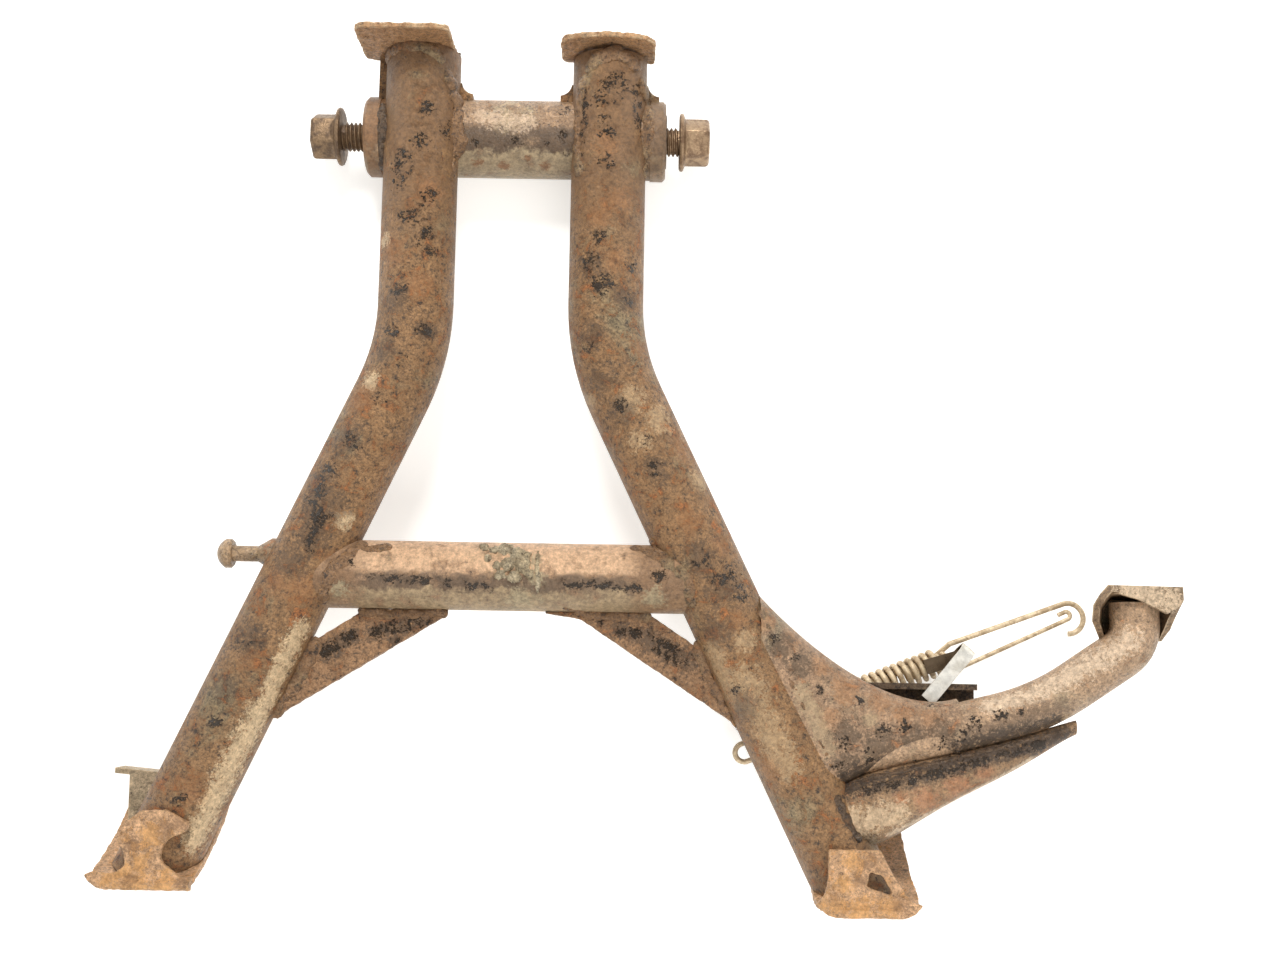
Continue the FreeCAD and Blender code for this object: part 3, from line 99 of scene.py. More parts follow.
class StandSizes(bpy.types.PropertyGroup):
    bead: length_property("Bead", "Radius of an ordinary weld bead", 1.7)
    grain: length_property("Grain", "How far the rust's grain stands up", 0.8)
    thread_pitch: length_property("Thread pitch", "Pitch of the pivot bolts", 1.75)
    thread_depth: length_property("Thread depth", "Depth of their thread", 1.05)


class StageSettings(bpy.types.PropertyGroup):
    eye: FloatVectorProperty(name="Eye", description="Where the camera stands",
                             subtype="TRANSLATION", unit="LENGTH",
                             default=(-0.0021, -0.0529, 0.6501))
    target: FloatVectorProperty(name="Target", description="What the camera looks at",
                                subtype="TRANSLATION", unit="LENGTH",
                                default=(-0.0021, -0.0068, 0.0318))
    roll: FloatProperty(name="Roll", description="Turn of the camera about its own axis",
                        subtype="ANGLE", unit="ROTATION", default=math.radians(1))
    lens: FloatProperty(name="Lens", description="Focal length on a 36 mm sensor",
                        unit="CAMERA", default=43.49)
    floor: colour_property("Floor", "Pale table", (0.86, 0.85, 0.82))
    sky: FloatProperty(name="Sky", description="Even light from all round", default=0.58)
    lamp: FloatProperty(name="Lamp", description="Strength of the large soft lamp",
                        unit="POWER", default=7.4)


# Where a pixel of the photograph's view falls on the stand

def camera_turn(stage):
    """The camera's axes as the columns of a matrix: right, up and back."""
    back = (Vector(stage.eye) - Vector(stage.target)).normalized()
    up = Vector((0, 1, 0))
    up = (up - back * up.dot(back)).normalized()
    right = up.cross(back)
    cos, sin = math.cos(stage.roll), math.sin(stage.roll)
    return Matrix((right * cos + up * sin, up * cos - right * sin, back)).transposed()


TREES = {}


def tree_of(node):
    if node not in TREES:
        TREES[node] = BVHTree.FromObject(NODES[node], bpy.context.evaluated_depsgraph_get())
    return TREES[node]


def seen_at(across, down, nodes):
    """The point of these nodes under one pixel of the view, and the surface's normal."""
    stage = bpy.context.scene.stand_stage
    focal = stage.lens / 36 * VIEW_WIDTH
    pixel = Vector((across - VIEW_WIDTH / 2, VIEW_HEIGHT / 2 - down, -focal))
    ray = (camera_turn(stage) @ pixel).normalized()
    eye = Vector(stage.eye)
    hits = [tree_of(node).ray_cast(eye, ray) for node in nodes]
    hits = [hit for hit in hits if hit[0] is not None]
    if not hits:
        raise ValueError("nothing of %s under pixel %d, %d" % (", ".join(nodes), across, down))
    place, normal = min(hits, key=lambda hit: hit[3])[:2]
    if normal.dot(ray) > 0:
        normal = -normal
    return place, normal


# How far the edge of a band of colour wanders, in metres, and how dull the wet grease is
BAND_WANDER = 0.012
GREASE_ROUGHNESS = 0.13


# Shader helpers

def put(tree, kind, values=None, **settings):
    """A node with its settings, and its sockets set to values or joined to other sockets."""
    made = tree.nodes.new(kind)
    for name, value in settings.items():
        setattr(made, name, value)
    for key, value in (values or {}).items():
        if isinstance(value, bpy.types.NodeSocket):
            tree.links.new(value, made.inputs[key])
        else:
            made.inputs[key].default_value = value
    return made


def blotches(tree, place, scale, detail=5.0, roughness=0.6, distortion=0.0):
    """Even noise of one scale, in patches to the metre."""
    made = put(tree, "ShaderNodeTexNoise", {
        "Vector": place, "Scale": scale, "Detail": detail, "Roughness": roughness,
        "Distortion": distortion})
    return made.outputs["Fac"]


def step_up(tree, value, low, high, bottom=0.0, top=1.0):
    """A smooth step of a value between two levels."""
    made = put(tree, "ShaderNodeMapRange", {
        "Value": value, "From Min": low, "From Max": high, "To Min": bottom, "To Max": top},
        interpolation_type="SMOOTHSTEP")
    return made.outputs["Result"]


def sums(tree, operation, first, second):
    made = put(tree, "ShaderNodeMath", {0: first, 1: second}, operation=operation)
    return made.outputs["Value"]


def blend_colours(tree, share, first, second):
    made = put(tree, "ShaderNodeMix", {0: share, 6: first, 7: second}, data_type="RGBA")
    return made.outputs[2]


def blend_values(tree, share, first, second):
    made = put(tree, "ShaderNodeMix", {0: share, 2: first, 3: second}, data_type="FLOAT")
    return made.outputs[0]


def vectors(tree, operation, first, second):
    """Maths of two vectors. A distance and a dot product are values."""
    made = put(tree, "ShaderNodeVectorMath", {0: first, 1: second}, operation=operation)
    return made.outputs["Value" if operation in ("DISTANCE", "DOT_PRODUCT") else "Vector"]


def scaled(tree, vector, share):
    made = put(tree, "ShaderNodeVectorMath", {0: vector, "Scale": share}, operation="SCALE")
    return made.outputs["Vector"]


def new_group(name, inputs, outputs):
    """A shader group with its sockets. Gives its tree, its inputs and its output node."""
    tree = bpy.data.node_groups.new(name, "ShaderNodeTree")
    for label, kind, value in inputs:
        socket = tree.interface.new_socket(label, in_out="INPUT", socket_type="NodeSocket" + kind)
        if value is not None:
            socket.default_value = value
    for label, kind in outputs:
        tree.interface.new_socket(label, in_out="OUTPUT", socket_type="NodeSocket" + kind)
    given = tree.nodes.new("NodeGroupInput").outputs
    result = tree.nodes.new("NodeGroupOutput").inputs
    return tree, given, result


def rust_group():
    """Layered rust: four colours in patches, mottling, flecks, roughness and height."""
    name = "Layered rust"
    if name in bpy.data.node_groups:
        return bpy.data.node_groups[name]
    tree, given, result = new_group(name, [
        ("Place", "Vector", None), ("Brown", "Color", None), ("Orange", "Color", None),
        ("Olive", "Color", None), ("Dark", "Color", None), ("Orange Level", "Float", 0.55),
        ("Olive Level", "Float", 0.5), ("Dark Level", "Float", 0.6),
    ], [("Color", "Color"), ("Roughness", "Float"), ("Height", "Float")])
    place = given["Place"]

    def above(value, level, width):
        return step_up(tree, value, level, sums(tree, "ADD", level, width))

    broad = blotches(tree, place, 30, 7, 0.66, 0.4)
    middling = blotches(tree, place, 145, 9, 0.76, 0.6)
    small = blotches(tree, place, 210, 8, 0.74, 0.3)
    grainy = blotches(tree, place, 430, 7, 0.8, 0.3)
    fine = blotches(tree, place, 900, 5, 0.8)
    olive = above(broad, given["Olive Level"], 0.14)
    colour = blend_colours(tree, olive, given["Brown"], given["Olive"])
    orange = above(middling, given["Orange Level"], 0.1)
    colour = blend_colours(tree, orange, colour, given["Orange"])
    dark = above(grainy, given["Dark Level"], 0.06)
    colour = blend_colours(tree, dark, colour, given["Dark"])
    cloud = step_up(tree, broad, 0.32, 0.68, 1.1, 0.88)
    mottle = step_up(tree, grainy, 0.34, 0.66, 1.3, 0.7)
    speckle = step_up(tree, fine, 0.32, 0.68, 0.45, 1.55)
    shade = sums(tree, "MULTIPLY", sums(tree, "MULTIPLY", cloud, mottle), speckle)
    speckled = scaled(tree, colour, shade)
    flecks = sums(tree, "MULTIPLY", step_up(tree, fine, 0.55, 0.6),
                  step_up(tree, middling, 0.42, 0.6))
    darker = blend_colours(tree, sums(tree, "MULTIPLY", flecks, 0.8), speckled, given["Dark"])
    tree.links.new(darker, result["Color"])
    tree.links.new(step_up(tree, middling, 0.35, 0.65, 0.36, 0.62), result["Roughness"])
    height = sums(tree, "ADD", small, sums(tree, "MULTIPLY", fine, 0.9))
    height = sums(tree, "ADD", height, sums(tree, "MULTIPLY", middling, 0.9))
    height = sums(tree, "ADD", height, sums(tree, "MULTIPLY", orange, 0.14))
    height = sums(tree, "SUBTRACT", height, sums(tree, "MULTIPLY", flecks, 0.3))
    tree.links.new(height, result["Height"])
    return tree


def grease_group():
    """Black gritty grease: a mask that is dense where it is told, and a crumbly height."""
    name = "Gritty grease"
    if name in bpy.data.node_groups:
        return bpy.data.node_groups[name]
    tree, given, result = new_group(name, [
        ("Place", "Vector", None), ("Near", "Float", 0.0), ("Level", "Float", 0.68),
    ], [("Mask", "Float"), ("Height", "Float")])
    grit = blotches(tree, given["Place"], 820, 5, 0.74, 0.5)
    clumps = blotches(tree, given["Place"], 190, 6, 0.74, 0.5)
    near = sums(tree, "MULTIPLY", given["Near"], step_up(tree, clumps, 0.36, 0.64, 0.35, 1.0))
    raised = sums(tree, "ADD", blend_values(tree, 0.2, grit, clumps),
                  sums(tree, "MULTIPLY", near, 0.3))
    mask = step_up(tree, raised, given["Level"], sums(tree, "ADD", given["Level"], 0.05))
    tree.links.new(mask, result["Mask"])
    crumbly = sums(tree, "ADD", blotches(tree, given["Place"], 1300, 5, 0.75), 0.25)
    tree.links.new(sums(tree, "MULTIPLY", mask, crumbly), result["Height"])
    return tree


def stroke_gap(tree, place, first, last):
    """How far a place is from a point, or from a straight stroke between two points."""
    if last is None:
        return vectors(tree, "DISTANCE", place, first)
    run = last - first
    away = vectors(tree, "SUBTRACT", place, first)
    along = vectors(tree, "DOT_PRODUCT", away, run.normalized())
    along = sums(tree, "MINIMUM", sums(tree, "MAXIMUM", along, 0.0), run.length)
    return vectors(tree, "DISTANCE", away, scaled(tree, run.normalized(), along))


def near_spots(tree, place, spots, reach):
    """A mask that is 1 at each spot (place, radius, end of its stroke) and fades out by reach
    times its radius."""
    mask = None
    for spot, radius, last in spots:
        gap = stroke_gap(tree, place, spot, last)
        near = step_up(tree, gap, radius * reach, 0.0)
        mask = near if mask is None else sums(tree, "MAXIMUM", mask, near)
    return 0.0 if mask is None else mask


def beyond(tree, place, direction, start, end):
    """A mask that rises from 0 to 1 along a direction, with a ragged edge."""
    along = vectors(tree, "DOT_PRODUCT", place, direction)
    ragged = sums(tree, "SUBTRACT", blotches(tree, place, 130, 6), 0.5)
    ragged = sums(tree, "MULTIPLY", ragged, BAND_WANDER)
    return step_up(tree, sums(tree, "ADD", along, ragged), start, end)


def worn_edges(tree, reach, place):
    """A ragged mask along the sharp edges of a plate."""
    rounded = put(tree, "ShaderNodeBevel", {"Radius": reach}, samples=6).outputs["Normal"]
    plain = put(tree, "ShaderNodeNewGeometry").outputs["Normal"]
    edge = step_up(tree, vectors(tree, "DOT_PRODUCT", rounded, plain), 0.985, 0.86)
    return sums(tree, "MULTIPLY", edge, step_up(tree, blotches(tree, place, 260, 6), 0.4, 0.56))


def new_material(name):
    """An empty material. Gives it, its tree, its shader and the place on the object."""
    material = bpy.data.materials.new(name)
    material.use_nodes = True
    tree = material.node_tree
    tree.nodes.clear()
    shader = tree.nodes.new("ShaderNodeBsdfPrincipled")
    output = tree.nodes.new("ShaderNodeOutputMaterial")
    tree.links.new(shader.outputs["BSDF"], output.inputs["Surface"])
    place = tree.nodes.new("ShaderNodeTexCoord").outputs["Object"]
    return material, tree, shader, place


def solid(colour):
    return (*colour, 1.0)


def patch_group():
    """A ragged patch: likelier near a spot, but torn up by noise of two scales."""
    name = "Ragged patch"
    if name in bpy.data.node_groups:
        return bpy.data.node_groups[name]
    tree, given, result = new_group(name, [("Place", "Vector", None), ("Near", "Float", 0.0)],
                                    [("Mask", "Float")])
    torn = blend_values(tree, 0.5, blotches(tree, given["Place"], 300, 8, 0.8, 0.5),
                        blotches(tree, given["Place"], 950, 5, 0.82))
    torn = sums(tree, "MULTIPLY", sums(tree, "SUBTRACT", torn, 0.5), 5.0)
    near = given["Near"]
    raised = sums(tree, "ADD", near, sums(tree, "MULTIPLY", torn, step_up(tree, near, 0.0, 0.25)))
    tree.links.new(step_up(tree, raised, 0.5, 0.85), result["Mask"])
    return tree


def rust_material(name, brown=None, orange=None, olive=None, dark=None,
                  levels=(0.55, 0.5, 0.6), spots=(), stains=(), grease_level=0.69, bands=(),
                  edge=None, gloss=0.0, relief=1.0):
    """Rust with bands and stains of other colours, worn edges and grease.

    A band is (direction, start and end along it in metres, colour, roughness or None), and a
    stain is (colour, roughness or None, strength, spots).
    """
    colours = bpy.context.scene.stand_colours
    sizes = bpy.context.scene.stand_sizes
    material, tree, shader, place = new_material(name)
    rust = put(tree, "ShaderNodeGroup", {"Place": place}, node_tree=rust_group())
    for label, colour, usual in (
            ("Brown", brown, colours.brown), ("Orange", orange, colours.orange),
            ("Olive", olive, colours.olive), ("Dark", dark, colours.dark)):
        rust.inputs[label].default_value = solid(colour or usual)
    for label, level in zip(("Orange Level", "Olive Level", "Dark Level"), levels):
        rust.inputs[label].default_value = level
    colour = rust.outputs["Color"]
    roughness = sums(tree, "SUBTRACT", rust.outputs["Roughness"], gloss)
    mottle = step_up(tree, blotches(tree, place, 520, 8, 0.78), 0.32, 0.68, 0.55, 1.3)

    for direction, start, end, tint, smooth in bands:
        inside = beyond(tree, place, direction, start, end)
        cover = step_up(tree, blotches(tree, place, 105, 8, 0.7), 0.66, 0.5, 0.0, 0.9)
        share = sums(tree, "MULTIPLY", inside, cover)
        colour = blend_colours(tree, share, colour, scaled(tree, tint, mottle))
        if smooth is not None:
            roughness = blend_values(tree, share, roughness, smooth)
    for tint, smooth, strength, places in stains:
        near = near_spots(tree, place, places, 1.7)
        patch = put(tree, "ShaderNodeGroup", {"Place": place, "Near": near},
                    node_tree=patch_group())
        share = sums(tree, "MULTIPLY", patch.outputs["Mask"], strength)
        colour = blend_colours(tree, share, colour, scaled(tree, tint, mottle))
        if smooth is not None:
            roughness = blend_values(tree, share, roughness, smooth)
    if edge is not None:
        reach, tint = edge
        colour = blend_colours(tree, worn_edges(tree, reach, place), colour, solid(tint))
    grease = put(tree, "ShaderNodeGroup", {
        "Place": place, "Level": grease_level, "Near": near_spots(tree, place, spots, 1.4)},
        node_tree=grease_group())
    mask = grease.outputs["Mask"]
    colour = blend_colours(tree, mask, colour, solid(colours.grease))
    roughness = blend_values(tree, mask, roughness, GREASE_ROUGHNESS)
    height = sums(tree, "ADD", rust.outputs["Height"],
                  sums(tree, "MULTIPLY", grease.outputs["Height"], 1.5))
    bump = put(tree, "ShaderNodeBump", {"Strength": 1.0, "Distance": sizes.grain * relief,
                                        "Height": height})
    tree.links.new(colour, shader.inputs["Base Color"])
    tree.links.new(roughness, shader.inputs["Roughness"])
    tree.links.new(bump.outputs["Normal"], shader.inputs["Normal"])
    return material


def metal_material(name, colour, stain, metallic, roughness, relief=0.3, scale=260.0,
                   below=None):
    """Dull metal with stains that follow a fine noise, and another colour below a level."""
    sizes = bpy.context.scene.stand_sizes
    material, tree, shader, place = new_material(name)
    patches = blotches(tree, place, scale, 8, 0.7, 0.3)
    fine = blotches(tree, place, scale * 4, 4, 0.6)
    share = step_up(tree, patches, 0.42, 0.62)
    mixed = blend_colours(tree, share, solid(colour), solid(stain))
    speckle = step_up(tree, fine, 0.3, 0.7, 0.85, 1.15)
    if below is not None:
        level, tint = below
        low = beyond(tree, place, (0, 0, -1), -level - 0.001, -level + 0.001)
        mixed = blend_colours(tree, low, mixed, solid(tint))
    tree.links.new(scaled(tree, mixed, speckle), shader.inputs["Base Color"])
    tree.links.new(sums(tree, "SUBTRACT", metallic, sums(tree, "MULTIPLY", share, metallic * 0.5)),
                   shader.inputs["Metallic"])
    tree.links.new(step_up(tree, patches, 0.3, 0.7, roughness, roughness + 0.22),
                   shader.inputs["Roughness"])
    bump = put(tree, "ShaderNodeBump", {"Strength": 1.0, "Distance": sizes.grain * relief,
                                        "Height": sums(tree, "ADD", patches, fine)})
    tree.links.new(bump.outputs["Normal"], shader.inputs["Normal"])
    return material


def spots_on(nodes, places):
    """Spots on these nodes from pixels of the view: (across, down, radius in millimetres), with
    the pixel where its stroke ends after that."""
    spots = []
    for across, down, radius, *last in places:
        end = seen_at(*last, nodes)[0] if last else None
        spots.append((seen_at(across, down, nodes)[0], radius * MM, end))
    return spots


def marks_on(nodes, marks):
    """A table of kinds of marks in pixels as a table of spots on these nodes."""
    return {kind: spots_on(nodes, places) for kind, places in marks.items()}


def finish_node(node, material):
    """Gives a carried-over node its material."""
    mesh = NODES[node].data
    mesh.materials.clear()
    mesh.materials.append(material)
    for polygon in mesh.polygons:
        polygon.material_index = 0


# The grain of rough lumps in millimetres, and the pixels from ball to ball of a bead
LUMP_GRAIN = 2.2
BEAD_STEP = 3.0


# Mesh helpers

def even_skin(piece, voxel):
    """One closed skin of small even faces, so many millimetres wide."""
    remesh = piece.modifiers.new("Even skin", "REMESH")
    remesh.mode = "VOXEL"
    remesh.voxel_size = voxel * MM
    remesh.use_smooth_shade = True


def rugged_skin(piece, grain, octaves, depth, middle):
    """Moves the skin in and out, with grain and depth in millimetres."""
    noise = bpy.data.textures.new(piece.name + "_rugged", "CLOUDS")
    noise.noise_scale = grain * MM
    noise.noise_depth = octaves
    wear = piece.modifiers.new("Rugged", "DISPLACE")
    wear.texture = noise
    wear.texture_coords = "LOCAL"
    wear.strength = depth * MM
    wear.mid_level = middle


def pit_node(node, voxel, depth, grain):
    """Gives a plate the uneven skin and nibbled edges of deep rust."""
    even_skin(NODES[node], voxel)
    rugged_skin(NODES[node], grain, 4, depth, 0.62)


def new_object(name, data):
    made = bpy.data.objects.new(name, data)
    bpy.context.scene.collection.objects.link(made)
    return made


def piece_from(name, mesh_tool, body, material):
    """An object at the origin from a bmesh in the row frame, riding on a body."""
    mesh = bpy.data.meshes.new(name)
    mesh_tool.to_mesh(mesh)
    mesh_tool.free()
    piece = new_object(name, mesh)
    mesh.materials.append(material)
    for polygon in mesh.polygons:
        polygon.use_smooth = True
    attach(piece, body)
    return piece


def lumps(name, blobs, material, seed, voxel=0.5, rough=0.5):
    """One uneven lump from overlapping balls: (place, normal, radius, flatness)."""
    chance = random.Random(seed)
    tool = bmesh.new()
    for place, normal, radius, flatness in blobs:
        turn = normal.to_track_quat("Z", "Y").to_matrix().to_4x4()
        size = radius * chance.uniform(0.88, 1.16)
        wide, long = (size * chance.uniform(0.9, 1.15) for _ in range(2))
        shape = Matrix.Diagonal((wide, long, size * flatness, 1))
        centre = place - normal * radius * 0.15
        bmesh.ops.create_icosphere(tool, subdivisions=2, radius=1.0,
                                   matrix=Matrix.Translation(centre) @ turn @ shape)
    piece = piece_from(name, tool, "stand", material)
    even_skin(piece, voxel)
    settle = piece.modifiers.new("Settled", "SMOOTH")
    settle.factor = 0.5
    settle.iterations = 2
    rugged_skin(piece, LUMP_GRAIN, 3, rough, 0.5)
    return piece


def along_pixels(corners, spacing):
    """Pixels along a line through corners, about so many pixels apart."""
    places = []
    for first, second in zip(corners, corners[1:]):
        reach = math.dist(first, second)
        count = max(1, round(reach / spacing))
        for step in range(count):
            share = step / count
            places.append((first[0] + (second[0] - first[0]) * share,
                           first[1] + (second[1] - first[1]) * share))
    places.append(corners[-1])
    return places


def weld_bead(name, nodes, material, thick, flat, rough, seed, corners):
    """A rippled weld bead along a line of the view, lying on these nodes."""
    radius = bpy.context.scene.stand_sizes.bead * thick
    chance = random.Random(seed)
    blobs = []
    for across, down in along_pixels(corners, BEAD_STEP * thick):
        place, normal = seen_at(across, down, nodes)
        stray = Vector((chance.uniform(-1, 1), chance.uniform(-1, 1), 0)) * radius * 0.3
        blobs.append((place + stray, normal, radius * chance.uniform(0.75, 1.2), flat))
    return lumps(name, blobs, material, seed, rough=rough)


def crumbs(name, nodes, material, biggest, seed, patches):
    """Crumbly clumps strewn over patches of the view: (across, down, reach, count)."""
    chance = random.Random(seed)
    blobs = []
    for across, down, reach, count in patches:
        for _ in range(count):
            turn = chance.uniform(0, 2 * math.pi)
            far = reach * math.sqrt(chance.random())
            place, normal = seen_at(across + far * math.cos(turn),
                                    down + far * math.sin(turn), nodes)
            blobs.append((place, normal, biggest * chance.uniform(0.4, 1.0) * MM, 0.6))
    return lumps(name, blobs, material, seed, voxel=0.2)


# Operators, each after the tables of its pieces

# Pixels in these tables are in the photograph's view. A mark is (across, down, radius in
# millimetres), with the pixel where its stroke ends after that.
LEFTWARD, RIGHTWARD, UPWARD, DOWNWARD = (-1, 0, 0), (1, 0, 0), (0, 1, 0), (0, -1, 0)

# The film strokes are partly real pale film and partly painted light that brightens the lower and
# inner parts of the legs
LEG_MARKS = {
    "left": {
        "grease": (
            (425, 330, 6), (400, 360, 5), (322, 480, 6, 312, 545), (250, 640, 5),
            (405, 160, 9), (428, 108, 5), (420, 140, 6), (398, 182, 7), (412, 215, 9),
            (425, 235, 7), (430, 250, 5), (400, 292, 6), (447, 130, 6), (378, 400, 5),
            (352, 440, 6), (325, 470, 7), (312, 500, 8), (320, 520, 7), (240, 640, 6),
            (215, 720, 5), (180, 800, 5), (392, 330, 6), (430, 195, 5)),
        "pits": (
            (395, 300, 8), (425, 330, 7), (385, 350, 7), (345, 440, 10),
            (322, 480, 9, 312, 540), (290, 560, 10), (335, 505, 9), (250, 640, 9),
            (225, 690, 8)),
        "film": (
            (300, 630, 6, 268, 700), (258, 716, 8, 220, 790), (215, 800, 7, 196, 840),
            (370, 380, 5), (345, 520, 5), (385, 240, 4)),
        "fresh": (
            (430, 190, 7), (395, 250, 8), (420, 285, 8), (360, 400, 8), (300, 590, 9),
            (190, 790, 8), (250, 660, 6), (335, 560, 6), (275, 580, 7)),
    },
    "right": {
        "grease": (
            (590, 260, 6, 600, 290), (630, 300, 5), (655, 470, 6), (705, 560, 6),
            (612, 88, 9), (628, 84, 8), (600, 100, 7), (603, 120, 6), (610, 133, 4),
            (606, 160, 5), (610, 168, 4), (600, 240, 6), (605, 282, 6), (632, 265, 5),
            (588, 345, 5), (620, 405, 5), (645, 440, 5), (725, 575, 8), (740, 592, 7),
            (700, 560, 6), (735, 690, 5), (636, 88, 5, 640, 128), (585, 90, 4, 582, 150)),
        "pits": (
            (590, 265, 8), (625, 300, 8), (590, 335, 8), (600, 380, 8), (620, 410, 8),
            (655, 470, 8), (700, 560, 10), (725, 590, 10), (715, 630, 9), (745, 705, 8)),
        "film": (
            (632, 400, 8), (660, 420, 8), (700, 480, 6), (712, 650, 6, 735, 700),
            (745, 680, 8, 785, 765), (745, 640, 6), (590, 400, 5), (640, 440, 6)),
        "fresh": (
            (605, 145, 7), (620, 200, 8), (600, 215, 7), (615, 260, 7), (640, 350, 6),
            (680, 450, 7), (690, 520, 8), (720, 545, 6), (770, 770, 6), (735, 620, 6)),
    },
}


class STAND_OT_legs(bpy.types.Operator):
    """Rust, film partly painted as light, and grease on the two bent legs"""
    bl_idname = "stand.legs"
    bl_label = "Legs"

    def execute(self, context):
        neck = (UPWARD, 0.075, 0.125, paint(130, 96, 62), 0.42)
        # Each film colour is partly pale film and partly painted light on the lower legs
        for side, levels, film, fresh in (
                ("left", (0.53, 0.54, 0.55), (paint(220, 190, 148), 0.4, 0.9),
                 paint(164, 110, 64)),
                ("right", (0.53, 0.52, 0.56), (paint(204, 172, 130), 0.42, 0.6),
                 paint(164, 112, 66))):
            node = side + "_leg_tube"
            marks = marks_on([node], LEG_MARKS[side])
            finish_node(node, rust_material(
                "Rusty %s leg" % side, spots=marks["grease"], levels=levels, bands=[neck],
                stains=[(*film, marks["film"]), (fresh, None, 0.45, marks["fresh"]),
                        (paint(86, 66, 46), 0.36, 0.6, marks["pits"])]))
        return {"FINISHED"}


class STAND_OT_neck(bpy.types.Operator):
    """Stop plates and neck webs at the top of the legs"""
    bl_idname = "stand.neck"
    bl_label = "Stop plates and webs"

    def execute(self, context):
        colours = context.scene.stand_colours
        plate = rust_material(
            "Rusty stop plates", brown=paint(172, 130, 90), orange=paint(168, 118, 76),
            olive=paint(156, 136, 104), levels=(0.56, 0.56, 0.57), grease_level=0.66,
            # The worn edges are partly a painted highlight on the lit edges of the plates
            edge=(2.2 * MM, colours.rim_wear_and_highlight))
        web = rust_material(
            "Rusty webs", orange=paint(164, 118, 76), olive=paint(164, 144, 112),
            levels=(0.5, 0.53, 0.55), grease_level=0.6)
        for node in ("left_stop_plate", "right_stop_plate"):
            finish_node(node, plate)
        for node in ("left_outer_neck_web", "left_inner_neck_web", "right_inner_neck_web",
                     "right_outer_neck_web"):
            finish_node(node, web)
        for node in ("left_stop_plate", "right_stop_plate"):
            pit_node(node, voxel=0.45, depth=1.3, grain=3.5)
        return {"FINISHED"}


PIVOT_MARKS = {
    "grease": ((475, 143, 3), (515, 141, 4), (548, 143, 3), (562, 136, 4), (566, 152, 3),
               (566, 112, 5), (520, 146, 3)),
    # The light strokes near the top are a painted highlight along the tube
    "painted_highlight": ((495, 118, 6), (510, 120, 7), (525, 122, 6), (482, 116, 5)),
    "flakes": ((504, 166, 3), (478, 163, 3), (528, 158, 2), (545, 166, 3)),
}

# The pivot bolts, in millimetres
PIVOT_BACK = -8.5
LEFT_FLANGE = -72.5
RIGHT_FLANGE = 67.7
RIGHT_HEXAGON_TURN = math.radians(18)
BOLT_RADIUS = 6.0
THREAD_LENGTH = 38
THREAD_TURNS = 21
STEPS_TO_A_TURN = 28
ACROSS_FLATS = 17
HEAD_MIDDLE = 7.4
HEAD_HEIGHT = 10.4
HEAD_END = 12.6
SIDE_BEVEL = 0.5
END_BEVEL = 1.7
FLANGE_OUTLINE = ((0.5, 0.0), (10.9, 0.0), (11.7, 0.35), (12.0, 1.0), (11.7, 1.7), (11.0, 2.0),
                  (9.6, 2.6), (9.0, 3.6), (8.6, 4.2), (0.5, 4.2))


class STAND_OT_pivot(bpy.types.Operator):
    """Pivot tube, its sleeve and the two threaded flange bolts"""
    bl_idname = "stand.pivot"
    bl_label = "Pivot"

    def execute(self, context):
        colours = context.scene.stand_colours
        marks = marks_on(["pivot_tube"], PIVOT_MARKS)
        finish_node("pivot_tube", rust_material(
            "Worn pivot tube", brown=paint(150, 120, 90), orange=paint(166, 118, 76),
            olive=paint(172, 152, 116), dark=paint(86, 68, 50), levels=(0.58, 0.5, 0.56),
            spots=marks["grease"], gloss=0.16, relief=0.6, bands=[
                # The first band is painted shade over the lower half of the tube, below its
                # highlight; the light band under it is worn bare metal
                (DOWNWARD, -0.139, -0.1355, paint(92, 72, 52), 0.3),
                (DOWNWARD, -0.1285, -0.1262, colours.bare, 0.3),
                (LEFTWARD, 0.101, 0.1035, paint(138, 100, 64), 0.4),
                (RIGHTWARD, -0.003, -0.0005, paint(124, 96, 68), 0.4)], stains=[
                # The first stain is a painted highlight along the top of the tube
                (paint(222, 192, 160), 0.24, 0.6, marks["painted_highlight"]),
                (paint(140, 100, 66), 0.5, 0.9, marks["flakes"])]))
        finish_node("pivot_sleeve", metal_material(
            "Brown sleeve", paint(118, 100, 82), paint(84, 66, 50), 0.5, 0.45))
        bronze = metal_material("Bronzed bolts", colours.bronze, paint(112, 86, 62), 0.75, 0.3)
        dull = metal_material("Dulled bolts", paint(130, 106, 80), paint(88, 68, 50), 0.7, 0.36)
        pivot_bolt("left", LEFT_FLANGE, -1, 0.0, dull)
        pivot_bolt("right", RIGHT_FLANGE, 1, RIGHT_HEXAGON_TURN, bronze)
        return {"FINISHED"}


def turn_outline(tool, outline, turns, steps, climb=0.0):
    """Turns an outline of (radius, height) about the upright axis, climbing at each step."""
    spots = [tool.verts.new((radius, 0, height)) for radius, height in outline]
    runs = [tool.edges.new(pair) for pair in zip(spots, spots[1:])]
    bmesh.ops.spin(tool, geom=spots + runs, cent=(0, 0, 0), axis=(0, 0, 1), dvec=(0, 0, climb),
                   angle=2 * math.pi * turns, steps=steps, use_merge=not climb)


def bevel_edges(tool, edges, width, segments):
    bmesh.ops.bevel(tool, geom=edges, offset=width * MM, offset_type="OFFSET",
                    segments=segments, profile=0.5, affect="EDGES", material=-1)


